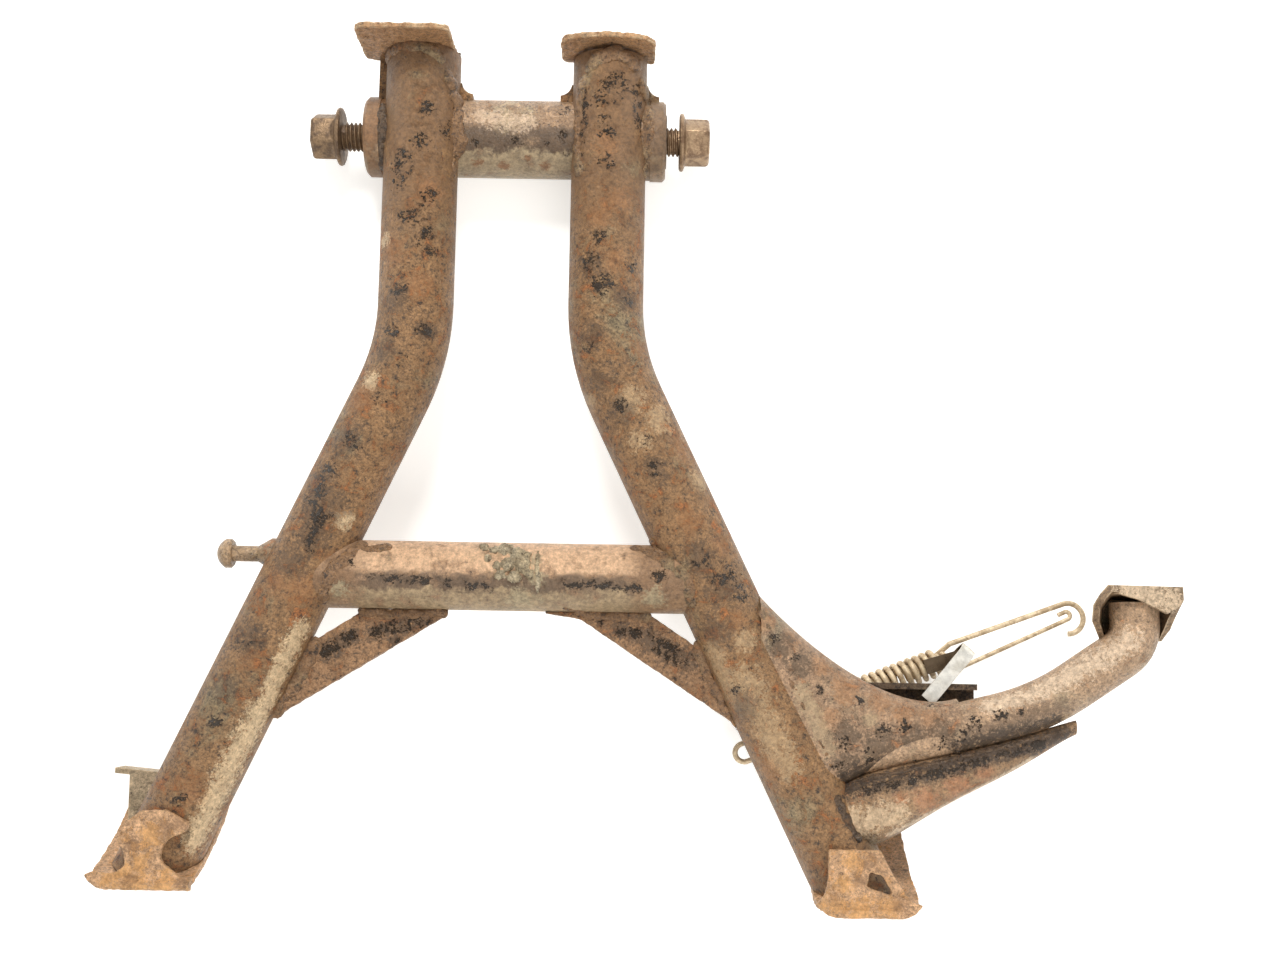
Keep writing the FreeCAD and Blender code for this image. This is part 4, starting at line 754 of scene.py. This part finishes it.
def pivot_bolt(side, flange, outward, hexagon_turn, material):
    """A flanged hexagon bolt with a real thread. Its flange's inner face is at x = flange."""
    sizes = bpy.context.scene.stand_sizes
    pitch, depth = sizes.thread_pitch, sizes.thread_depth
    major, root = BOLT_RADIUS * MM, BOLT_RADIUS * MM - depth
    tool = bmesh.new()
    run = -THREAD_LENGTH * MM
    # one turn of the thread: valley, flank, crest and flank
    outline = [(root, 0.0), (root, pitch * 0.12), (major, pitch * 0.47), (major, pitch * 0.6),
               (root, pitch * 0.95), (root, pitch)]
    turn_outline(tool, [(radius, run + rise) for radius, rise in outline], THREAD_TURNS,
                 STEPS_TO_A_TURN * THREAD_TURNS, climb=pitch / STEPS_TO_A_TURN)
    bmesh.ops.remove_doubles(tool, verts=tool.verts, dist=0.004 * MM)
    bmesh.ops.create_cone(tool, cap_ends=True, segments=STEPS_TO_A_TURN, radius1=root,
                          radius2=root, depth=THREAD_LENGTH * MM,
                          matrix=Matrix.Translation((0, 0, -THREAD_LENGTH / 2 * MM)))
    # flange, cone and washer face, turned from one outline
    turn_outline(tool, [(radius * MM, rise * MM) for radius, rise in FLANGE_OUTLINE], 1, 64)
    # the hexagon, with its outer corners rounded off by a bevel of the end face
    corner = ACROSS_FLATS / math.sqrt(3) * MM
    made = bmesh.ops.create_cone(tool, cap_ends=True, segments=6, radius1=corner,
                                 radius2=corner, depth=HEAD_HEIGHT * MM,
                                 matrix=Matrix.Translation((0, 0, HEAD_MIDDLE * MM))
                                 @ Matrix.Rotation(hexagon_turn, 4, "Z"))
    edges = {edge for vert in made["verts"] for edge in vert.link_edges}
    sides = [edge for edge in edges if abs(edge.verts[0].co.z - edge.verts[1].co.z) > MM]
    bevel_edges(tool, sides, SIDE_BEVEL, 2)
    ends = [edge for edge in tool.edges
            if all(abs(vert.co.z - HEAD_END * MM) < 0.01 * MM for vert in edge.verts)]
    bevel_edges(tool, ends, END_BEVEL, 4)
    bmesh.ops.recalc_face_normals(tool, faces=tool.faces)
    place = (LAID @ Matrix.Translation(Vector((flange, 0, PIVOT_BACK)) * MM)
             @ Matrix.Rotation(math.radians(90) * outward, 4, "Y"))
    bmesh.ops.transform(tool, matrix=place, verts=tool.verts)
    piece = piece_from(side + "_flange_bolt", tool, "pivot_shaft", material)
    piece.data.set_sharp_from_angle(angle=math.radians(32))
    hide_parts(side + "_pivot_bolt")
    return piece


BRACE_MARKS = {
    "grit": ((372, 577, 3, 450, 582), (465, 586, 3, 490, 588), (565, 584, 3, 640, 588),
             (350, 560, 5), (660, 575, 5)),
    "film": ((535, 560, 4), (537, 578, 4), (655, 598, 6), (520, 600, 7), (340, 590, 5)),
}
STRUTS = ("left_brace_strut", "right_brace_strut")
STRUT_SOOT = (
    (326, 652, 5, 352, 636), (375, 632, 5, 425, 620), (620, 632, 5, 650, 636),
    (652, 644, 6, 688, 660), (600, 620, 4), (395, 640, 4))


class STAND_OT_brace(bpy.types.Operator):
    """Cross brace and its struts"""
    bl_idname = "stand.brace"
    bl_label = "Brace"

    def execute(self, context):
        colours = context.scene.stand_colours
        marks = marks_on(["cross_brace_tube"], BRACE_MARKS)
        finish_node("cross_brace_tube", rust_material(
            "Rubbed brace", brown=paint(158, 124, 92), orange=paint(178, 122, 80),
            olive=paint(168, 148, 114), levels=(0.58, 0.52, 0.57), spots=marks["grit"],
            gloss=0.1, relief=0.9, stains=[(paint(176, 160, 126), 0.42, 0.7, marks["film"])],
            # The first band is a painted highlight along the top of the brace
            bands=[(UPWARD, -0.0475, -0.0435, colours.highlighted, 0.3),
                   (DOWNWARD, 0.0445, 0.0465, paint(112, 90, 68), 0.4),
                   (DOWNWARD, 0.0505, 0.0535, paint(178, 152, 116), 0.4),
                   (LEFTWARD, 0.107, 0.117, paint(140, 106, 74), 0.45),
                   (RIGHTWARD, -0.009, 0.001, paint(146, 112, 80), 0.45)]))
        soot = spots_on(STRUTS, STRUT_SOOT)
        strut = rust_material(
            "Rusty struts", brown=paint(148, 112, 78), orange=paint(166, 110, 68),
            levels=(0.54, 0.6, 0.56), spots=soot, gloss=0.06,
            stains=[(paint(90, 72, 54), 0.4, 0.75, soot)])
        for node in STRUTS:
            finish_node(node, strut)
            pit_node(node, voxel=0.5, depth=0.8, grain=3.0)
        return {"FINISHED"}


# A weld bead is its name, the nodes that it lies on, its metal, its thickness in ordinary beads,
# its flatness, its roughness in millimetres, its seed and the pixels of its line
LEFT_NECK = ("left_leg_tube", "pivot_tube", "left_inner_neck_web")
RIGHT_NECK = ("right_leg_tube", "pivot_tube", "right_inner_neck_web", "right_outer_neck_web")
LEFT_CORNER = ("left_leg_tube", "cross_brace_tube", "left_brace_strut")
RIGHT_CORNER = ("right_leg_tube", "cross_brace_tube", "right_brace_strut")
LEVER_ROOT = ("lever_tube", "lever_root_shell", "lever_under_rib", "right_leg_tube")

NECK_BEADS = (
    ("neck_weld_left_inner", LEFT_NECK, "plain", 1.7, 0.55, 0.9, 21,
     ((449, 74), (453, 90), (457, 104), (458, 128), (457, 152), (454, 174))),
    ("neck_weld_left_outer", LEFT_NECK[:2], "dark", 1.1, 0.6, 0.9, 22,
     ((382, 104), (381, 130), (383, 168))),
    ("neck_weld_right_inner", RIGHT_NECK, "plain", 1.5, 0.55, 0.9, 23,
     ((583, 84), (579, 104), (577, 130), (577, 152), (579, 172))),
    ("neck_weld_right_outer", RIGHT_NECK, "plain", 1.5, 0.55, 0.9, 24,
     ((642, 84), (647, 104), (648, 130), (647, 152), (645, 172))),
    ("stop_weld_left", ("left_leg_tube", "left_stop_plate"), "plain", 1.6, 0.5, 0.9, 25,
     ((388, 58), (392, 52), (402, 45), (418, 43), (432, 48), (441, 58))),
    ("stop_weld_right", ("right_leg_tube", "right_stop_plate"), "plain", 1.6, 0.5, 0.9, 26,
     ((588, 68), (594, 60), (606, 54), (620, 54), (631, 60), (637, 68))),
)

OTHER_BEADS = (
    ("brace_weld_left_upper", LEFT_CORNER[1:], "plain", 1.0, 0.6, 0.9, 2,
     ((360, 612), (392, 614), (424, 614), (448, 612))),
    ("brace_weld_right_upper", RIGHT_CORNER[1:], "plain", 1.0, 0.6, 0.9, 3,
     ((566, 609), (600, 616), (648, 617))),
    ("strut_weld_left", LEFT_CORNER, "plain", 1.5, 0.5, 0.9, 4,
     ((316, 640), (297, 680), (268, 722))),
    ("strut_weld_right", RIGHT_CORNER, "plain", 1.4, 0.5, 0.9, 5,
     ((699, 648), (710, 680), (727, 712))),
    ("brace_end_weld_left", LEFT_CORNER, "plain", 1.5, 0.35, 0.9, 6,
     ((360, 545), (347, 554), (330, 572), (321, 600))),
    ("brace_end_weld_right", RIGHT_CORNER, "plain", 1.5, 0.35, 0.9, 7,
     ((652, 542), (668, 562), (688, 578), (692, 602))),
    ("brace_corner_left", LEFT_CORNER, "plain", 1.3, 0.5, 0.9, 9,
     ((364, 548), (374, 548), (386, 548))),
    ("brace_corner_right", RIGHT_CORNER, "plain", 1.3, 0.5, 0.9, 10,
     ((634, 548), (646, 550), (656, 556))),
    ("lever_groove_bead", LEVER_ROOT, "dark", 0.6, 0.6, 0.9, 31,
     ((846, 783), (880, 776), (920, 767), (960, 757), (1000, 747), (1040, 737), (1068, 730))),
    ("shell_edge_bead", LEVER_ROOT, "plain", 0.9, 0.16, 0.4, 32,
     ((756, 600), (770, 634), (788, 676), (810, 722), (834, 772))),
    ("rib_root_bead", LEVER_ROOT, "dark", 1.0, 0.5, 0.9, 33,
     ((838, 800), (846, 818), (858, 838))),
    ("brace_seam_bead", ("cross_brace_tube",), "dirt", 0.6, 0.7, 0.9, 8,
     ((538, 552), (537, 570), (538, 592))),
)

# The burr on the left stop plate's corner: its pixel, and (step along, radius) in millimetres
BURR_SEED = 27
BURR_PIXEL = (450, 57)
BURR_BALLS = ((0.6, 1.7), (2.2, 1.4), (3.8, 1.0))

# The caked dirt on the brace: (across, down, radius in millimetres). One seed is for the sizes
# of its balls and one for their shapes.
DIRT_SIZE_SEED = 11
DIRT_SHAPE_SEED = 12
DIRT_BALLS = (
    (484, 548, 2.0), (494, 550, 2.4), (506, 549, 3.0), (517, 555, 3.2), (508, 564, 3.5),
    (523, 564, 3.1), (500, 575, 2.6), (514, 577, 2.6), (488, 558, 1.8), (529, 573, 1.9),
    (497, 566, 2.4), (527, 556, 2.2))

# Clumped grease is its name, the nodes that it lies on, its biggest crumb in millimetres, its
# seed and its patches: (across, down, reach in pixels, number of crumbs)
GREASE_CLUMPS = (
    ("neck_grease", ("left_leg_tube", "right_leg_tube", "pivot_tube", "left_inner_neck_web",
                     "right_inner_neck_web"), 0.52, 41, (
        (616, 80, 9, 30), (628, 86, 7, 22), (603, 90, 7, 26), (601, 104, 5, 16),
        (601, 118, 4, 16), (608, 131, 4, 12), (600, 135, 3, 8), (611, 163, 4, 10),
        (598, 162, 3, 6), (455, 112, 4, 14), (461, 126, 3, 10), (452, 100, 3, 8),
        (415, 142, 6, 12), (422, 136, 4, 8), (400, 160, 8, 22), (395, 168, 6, 14),
        (430, 108, 4, 8), (398, 183, 6, 12), (424, 193, 6, 12))),
    ("lever_grease", ("lever_root_shell", "lever_tube", "lever_under_rib"), 0.5, 42, (
        (845, 745, 8, 24), (838, 765, 6, 16), (868, 752, 6, 12), (880, 735, 6, 12),
        (905, 727, 6, 12), (940, 742, 8, 20), (960, 735, 7, 18), (975, 722, 6, 14),
        (1002, 714, 7, 16), (955, 755, 6, 12), (915, 765, 5, 8))),
    ("leg_grease", ("left_leg_tube", "right_leg_tube", "lever_root_shell"), 0.46, 43, (
        (405, 215, 8, 16), (425, 240, 7, 12), (602, 280, 5, 8), (630, 265, 5, 8),
        (735, 575, 8, 18), (748, 592, 6, 10), (318, 520, 8, 16), (350, 440, 6, 8))),
)


class STAND_OT_welds(bpy.types.Operator):
    """Weld beads, caked dirt and clumps of gritty grease"""
    bl_idname = "stand.welds"
    bl_label = "Welds, dirt and grease"

    def execute(self, context):
        colours = context.scene.stand_colours
        metals = {
            "plain": rust_material(
                "Weld metal", brown=paint(130, 98, 67), olive=paint(146, 122, 88),
                orange=paint(154, 106, 66), levels=(0.57, 0.48, 0.55), gloss=0.14,
                grease_level=0.62),
            "dark": rust_material(
                "Dark weld metal", brown=paint(92, 72, 52), olive=paint(104, 86, 64),
                orange=paint(116, 84, 56), levels=(0.55, 0.5, 0.52), gloss=0.16,
                grease_level=0.58),
            "dirt": rust_material(
                "Caked dirt", brown=colours.dirt, orange=paint(156, 136, 106),
                olive=paint(186, 170, 140), dark=paint(108, 92, 70), levels=(0.5, 0.5, 0.56),
                grease_level=0.7),
        }
        for name, nodes, metal, *shape in NECK_BEADS:
            weld_bead(name, nodes, metals[metal], *shape)
        corner, normal = seen_at(*BURR_PIXEL, ["left_stop_plate"])
        burr = [(corner + Vector((step, step * 0.3, 0)) * MM, normal, radius * MM, 0.6)
                for step, radius in BURR_BALLS]
        lumps("stop_plate_burr", burr, metals["dark"], BURR_SEED, voxel=0.3, rough=0.4)
        for name, nodes, metal, *shape in OTHER_BEADS:
            weld_bead(name, nodes, metals[metal], *shape)
        chance = random.Random(DIRT_SIZE_SEED)
        balls = []
        for across, down, radius in DIRT_BALLS:
            place, normal = seen_at(across, down, ["cross_brace_tube"])
            balls.append((place, normal, radius * MM * chance.uniform(0.85, 1.15), 0.8))
        lumps("brace_dirt", balls, metals["dirt"], DIRT_SHAPE_SEED, voxel=0.4, rough=2.6)
        grease = rust_material(
            "Clumped grease", brown=paint(84, 68, 52), orange=paint(124, 94, 66),
            olive=paint(104, 88, 68), dark=paint(46, 37, 29), levels=(0.62, 0.55, 0.5),
            grease_level=0.46, gloss=0.32)
        for name, nodes, *shape in GREASE_CLUMPS:
            crumbs(name, nodes, grease, *shape)
        return {"FINISHED"}


SHELL_MARKS = {
    "dirt": ((775, 640, 4), (795, 655, 4), (842, 740, 6), (860, 700, 4), (845, 765, 5),
             (885, 730, 5), (905, 725, 4), (870, 762, 4), (930, 705, 3), (820, 690, 3)),
    "pits": ((780, 645, 8), (800, 665, 7), (850, 735, 9), (880, 745, 9), (915, 740, 9),
             (940, 735, 8), (845, 765, 8), (880, 768, 6), (925, 758, 6)),
    "fresh": ((765, 620, 7), (790, 640, 6), (845, 690, 8), (880, 700, 8), (905, 715, 7),
              (830, 720, 6), (930, 720, 6), (820, 665, 6)),
    "film": ((800, 690, 5, 830, 750), (870, 720, 4)),
    # The groove strokes are painted shade in the groove under the lever
    "groove": ((846, 777, 6, 900, 765), (900, 765, 6, 960, 750)),
}
# On the lever tube the oil marks are grease; the light strokes along its top are a painted
# highlight, and the dark strokes below are painted shade, darkest along its lower edge over the
# groove
LEVER_MARKS = {
    "oil": ((945, 738, 5), (975, 725, 5), (1000, 716, 5), (1020, 712, 3), (960, 745, 5)),
    "painted_highlight": ((990, 706, 5, 1045, 690), (1045, 690, 6, 1090, 662), (1090, 662, 7, 1128, 640)),
    "shade": ((955, 742, 6, 1060, 708), (985, 735, 5, 1040, 716)),
    "lip": ((960, 749, 6, 1030, 730), (1030, 730, 5, 1056, 721)),
}
# On the rib the dark strokes by the groove are painted shade, the light marks on its rounded root
# a painted highlight and the edge strokes a painted highlight along its lower edge; soot and rust
# are stains
RIB_MARKS = {
    "soot": ((868, 790, 4, 955, 770), (955, 770, 4, 1045, 744)),
    "crease_shade": ((850, 789, 5.5, 960, 761), (960, 761, 5, 1066, 734)),
    "edge": ((890, 834, 2.2, 950, 803), (950, 803, 1.8, 1030, 760)),
    "bulb_highlight": ((856, 822, 9), (856, 824, 7, 900, 812)),
    "rust": ((925, 800, 7), (955, 785, 7), (985, 772, 6), (900, 800, 5)),
}
# A painted highlight on the pedal's lit top face
PEDAL_TOP_HIGHLIGHT = ((1128, 592, 7, 1170, 598), (1170, 600, 7))


class STAND_OT_lever(bpy.types.Operator):
    """Foot lever, its pressed root, rib, channel and pedal"""
    bl_idname = "stand.lever"
    bl_label = "Lever"

    def execute(self, context):
        marks = marks_on(["lever_root_shell", "lever_tube", "right_leg_tube"], SHELL_MARKS)
        finish_node("lever_root_shell", rust_material(
            "Rusty lever root", brown=paint(164, 132, 102), olive=paint(160, 142, 112),
            orange=paint(192, 134, 90), levels=(0.55, 0.5, 0.58), spots=marks["dirt"],
            stains=[(paint(184, 132, 86), None, 0.5, marks["fresh"]),
                    (paint(184, 160, 124), 0.5, 0.6, marks["film"]),
                    (paint(96, 78, 58), 0.36, 0.75, marks["pits"]),
                    # The last stain is painted shade in the groove under the lever
                    (paint(80, 64, 48), 0.3, 1.0, marks["groove"])]))
        marks = marks_on(["lever_tube", "lever_root_shell"], LEVER_MARKS)
        finish_node("lever_tube", rust_material(
            "Rusty lever", brown=paint(176, 144, 112), orange=paint(196, 144, 102),
            olive=paint(180, 158, 126), dark=paint(112, 90, 68), levels=(0.57, 0.5, 0.6),
            spots=marks["oil"], gloss=0.16, relief=0.8,
            # A painted highlight along the top, painted shade along the lower side and darker
            # painted shade along the lower edge over the groove
            stains=[(paint(232, 204, 172), 0.32, 0.85, marks["painted_highlight"]),
                    (paint(118, 94, 70), 0.36, 0.75, marks["shade"]),
                    (paint(82, 66, 50), 0.3, 1.0, marks["lip"])]))
        marks = marks_on(["lever_under_rib"], RIB_MARKS)
        finish_node("lever_under_rib", rust_material(
            "Rusty rib", brown=paint(152, 120, 86), orange=paint(188, 128, 84),
            olive=paint(172, 152, 120), levels=(0.54, 0.52, 0.58), gloss=0.12,
            spots=marks["soot"],
            # Stains: rust, a painted highlight on the rounded root, soot, painted shade along the
            # groove and a painted highlight along the lower edge
            stains=[(paint(192, 134, 94), None, 0.6, marks["rust"]),
                    (paint(226, 196, 158), 0.38, 0.75, marks["bulb_highlight"]),
                    (paint(104, 82, 60), 0.36, 0.75, marks["soot"]),
                    (paint(80, 63, 47), 0.3, 1.0, marks["crease_shade"]),
                    (paint(232, 206, 172), 0.36, 0.7, marks["edge"])]))
        # The channel's dark colour is painted shade: it lies in the shadow of the lever tube
        finish_node("lever_back_channel", rust_material(
            "Channel in painted shade", brown=paint(106, 86, 66), orange=paint(124, 90, 62),
            olive=paint(116, 100, 76), dark=paint(70, 56, 44), levels=(0.58, 0.5, 0.52)))
        # The light stroke on the top face is a painted highlight on its lit face
        top = spots_on(["pedal_saddle"], PEDAL_TOP_HIGHLIGHT)
        finish_node("pedal_saddle", rust_material(
            "Worn pedal with painted highlight", brown=paint(138, 112, 84), orange=paint(156, 118, 80),
            olive=paint(120, 106, 80), dark=paint(78, 64, 48), levels=(0.6, 0.5, 0.58),
            edge=(1.2 * MM, paint(214, 188, 152)), gloss=0.08,
            stains=[(paint(224, 196, 162), 0.4, 1.0, top)]))
        return {"FINISHED"}


SHOE_MARKS = {
    "left": {
        "bright": ((110, 880, 6), (135, 884, 7), (165, 884, 7), (150, 835, 6), (140, 862, 5),
                   (125, 872, 5)),
        "deep": ((165, 830, 5), (178, 822, 5), (130, 880, 4), (180, 884, 4), (132, 845, 4)),
    },
    "right": {
        "bright": ((835, 905, 6), (860, 910, 7), (890, 908, 6), (850, 862, 5), (845, 885, 5)),
        "deep": ((872, 862, 5), (860, 880, 4), (900, 905, 5), (835, 898, 4)),
    },
}


class STAND_OT_feet(bpy.types.Operator):
    """Rocker shoes, heel lug and spring post"""
    bl_idname = "stand.feet"
    bl_label = "Feet"

    def execute(self, context):
        colours = context.scene.stand_colours
        for side in ("left", "right"):
            node = side + "_shoe"
            marks = marks_on([node], SHOE_MARKS[side])
            finish_node(node, rust_material(
                "Orange rust, " + side, brown=paint(200, 158, 118), orange=colours.sole,
                olive=paint(188, 150, 110), dark=paint(120, 88, 60), levels=(0.53, 0.56, 0.6),
                edge=(1.4 * MM, paint(234, 186, 124)), grease_level=0.76,
                stains=[(paint(222, 166, 104), 0.5, 0.8, marks["bright"]),
                        (paint(150, 112, 78), None, 0.6, marks["deep"])]))
            pit_node(node, voxel=0.55, depth=0.9, grain=3.5)
        finish_node("left_heel_lug", rust_material(
            "Pale lug", brown=paint(188, 166, 134), orange=paint(190, 152, 110),
            # Its worn edges are partly a painted highlight
            olive=paint(150, 136, 108), levels=(0.6, 0.5, 0.6), edge=(1.2 * MM, colours.rim_wear_and_highlight)))
        finish_node("spring_post", rust_material(
            "Rusty post", brown=paint(158, 130, 98), levels=(0.56, 0.5, 0.58), gloss=0.2,
            relief=0.6))
        return {"FINISHED"}


# The foot of the bright strip is in shade up to this height, in metres
STRIP_SHADE = 0.0225


class STAND_OT_springs(bpy.types.Operator):
    """Return springs, their anchor pin and the bright strip"""
    bl_idname = "stand.springs"
    bl_label = "Springs"

    def execute(self, context):
        colours = context.scene.stand_colours
        wire = metal_material("Dull wire", colours.spring, paint(178, 154, 120), 0.15, 0.36)
        for node in ("outer_return_spring", "inner_return_spring"):
            finish_node(node, wire)
        finish_node("spring_anchor_pin", metal_material(
            "Dark pin", paint(120, 102, 82), paint(86, 70, 54), 0.5, 0.5))
        finish_node("spring_link", metal_material(
            "Bright strip", colours.strip, paint(204, 198, 184), 0.8, 0.26, relief=0.05,
            scale=90.0, below=(STRIP_SHADE, paint(96, 80, 62))))
        return {"FINISHED"}


# The table reaches so many metres each way, and glows where it is looked at
TABLE_REACH = 3.0
TABLE_GLOW = 0.55
GLOW_COLOUR = (1.0, 0.985, 0.95)

# Lamps: name, place and size in metres, share of the stage's lamp power
LAMPS = (("key", (-0.1, 0.72, 0.66), 0.34, 1.0), ("fill", (0.2, -0.6, 0.6), 0.6, 0.5))


def in_sight(tree):
    """The light path, and a mask of what the camera sees straight or mirrored."""
    sight = tree.nodes.new("ShaderNodeLightPath")
    shown = sums(tree, "MAXIMUM", sight.outputs["Is Camera Ray"], sight.outputs["Is Glossy Ray"])
    return sight, shown


class STAND_OT_stage(bpy.types.Operator):
    """Pale table, soft light and the camera at the photograph's place"""
    bl_idname = "stand.stage"
    bl_label = "Stage"

    def execute(self, context):
        scene = context.scene
        stage = scene.stand_stage
        tool = bmesh.new()
        bmesh.ops.create_grid(tool, x_segments=2, y_segments=2, size=TABLE_REACH)
        mesh = bpy.data.meshes.new("table_top")
        tool.to_mesh(mesh)
        tool.free()
        table = new_object("table_top", mesh)
        material, tree, shader, place = new_material("Pale table")
        shader.inputs["Base Color"].default_value = solid(stage.floor)
        shader.inputs["Roughness"].default_value = 0.9
        shader.inputs["Emission Color"].default_value = solid(GLOW_COLOUR)
        sight, shown = in_sight(tree)
        tree.links.new(sums(tree, "MULTIPLY", shown, TABLE_GLOW),
                       shader.inputs["Emission Strength"])
        mesh.materials.append(material)

        world = bpy.data.worlds.new("Even light")
        world.use_nodes = True
        scene.world = world
        tree = world.node_tree
        tree.nodes.clear()
        sight, shown = in_sight(tree)
        shown = sums(tree, "MAXIMUM", shown, sight.outputs["Is Transmission Ray"])
        sky = put(tree, "ShaderNodeBackground", {"Color": (1, 1, 1, 1), "Strength": stage.sky})
        white = put(tree, "ShaderNodeBackground", {"Color": (1, 1, 1, 1), "Strength": 1.0})
        mixed = put(tree, "ShaderNodeMixShader", {
            0: shown, 1: sky.outputs["Background"], 2: white.outputs["Background"]})
        output = tree.nodes.new("ShaderNodeOutputWorld")
        tree.links.new(mixed.outputs["Shader"], output.inputs["Surface"])

        for name, where, size, share in LAMPS:
            light = bpy.data.lights.new(name, "AREA")
            light.shape = "DISK"
            light.size = size
            light.energy = stage.lamp * share
            lamp = new_object(name, light)
            lamp.location = where
            lamp.rotation_euler = (-Vector(where)).to_track_quat("-Z", "Y").to_euler()

        lens = bpy.data.cameras.new("view")
        lens.lens = stage.lens
        lens.sensor_width = 36
        lens.clip_start = 0.01
        camera = new_object("view", lens)
        camera.matrix_world = (Matrix.Translation(Vector(stage.eye))
                               @ camera_turn(stage).to_4x4())
        scene.camera = camera
        scene.view_settings.view_transform = "Standard"
        return {"FINISHED"}


class STAND_PT_bench(bpy.types.Panel):
    """Buttons for the stand's pieces and its stage"""
    bl_label = "Centre stand"
    bl_idname = "STAND_PT_bench"
    bl_space_type = "VIEW_3D"
    bl_region_type = "UI"
    bl_category = "Centre Stand"

    def draw(self, context):
        column = self.layout.column()
        for operator in OPERATORS:
            column.operator(operator.bl_idname)
        for group in (context.scene.stand_colours, context.scene.stand_sizes,
                      context.scene.stand_stage):
            for name in group.__annotations__:
                column.prop(group, name)


GROUPS = (StandColours, StandSizes, StageSettings)
OPERATORS = (STAND_OT_legs, STAND_OT_neck, STAND_OT_pivot, STAND_OT_brace, STAND_OT_welds,
             STAND_OT_lever, STAND_OT_feet, STAND_OT_springs, STAND_OT_stage)


def register():
    for kind in GROUPS + OPERATORS + (STAND_PT_bench,):
        bpy.utils.register_class(kind)
    bpy.types.Scene.stand_colours = PointerProperty(type=StandColours)
    bpy.types.Scene.stand_sizes = PointerProperty(type=StandSizes)
    bpy.types.Scene.stand_stage = PointerProperty(type=StageSettings)


def unregister():
    del bpy.types.Scene.stand_colours
    del bpy.types.Scene.stand_sizes
    del bpy.types.Scene.stand_stage
    for kind in reversed(GROUPS + OPERATORS + (STAND_PT_bench,)):
        bpy.utils.unregister_class(kind)


def main():
    register()
    bpy.ops.stand.legs()
    bpy.ops.stand.neck()
    bpy.ops.stand.pivot()
    bpy.ops.stand.brace()
    bpy.ops.stand.welds()
    bpy.ops.stand.lever()
    bpy.ops.stand.feet()
    bpy.ops.stand.springs()
    bpy.ops.stand.stage()


if __name__ == "__main__":
    main()
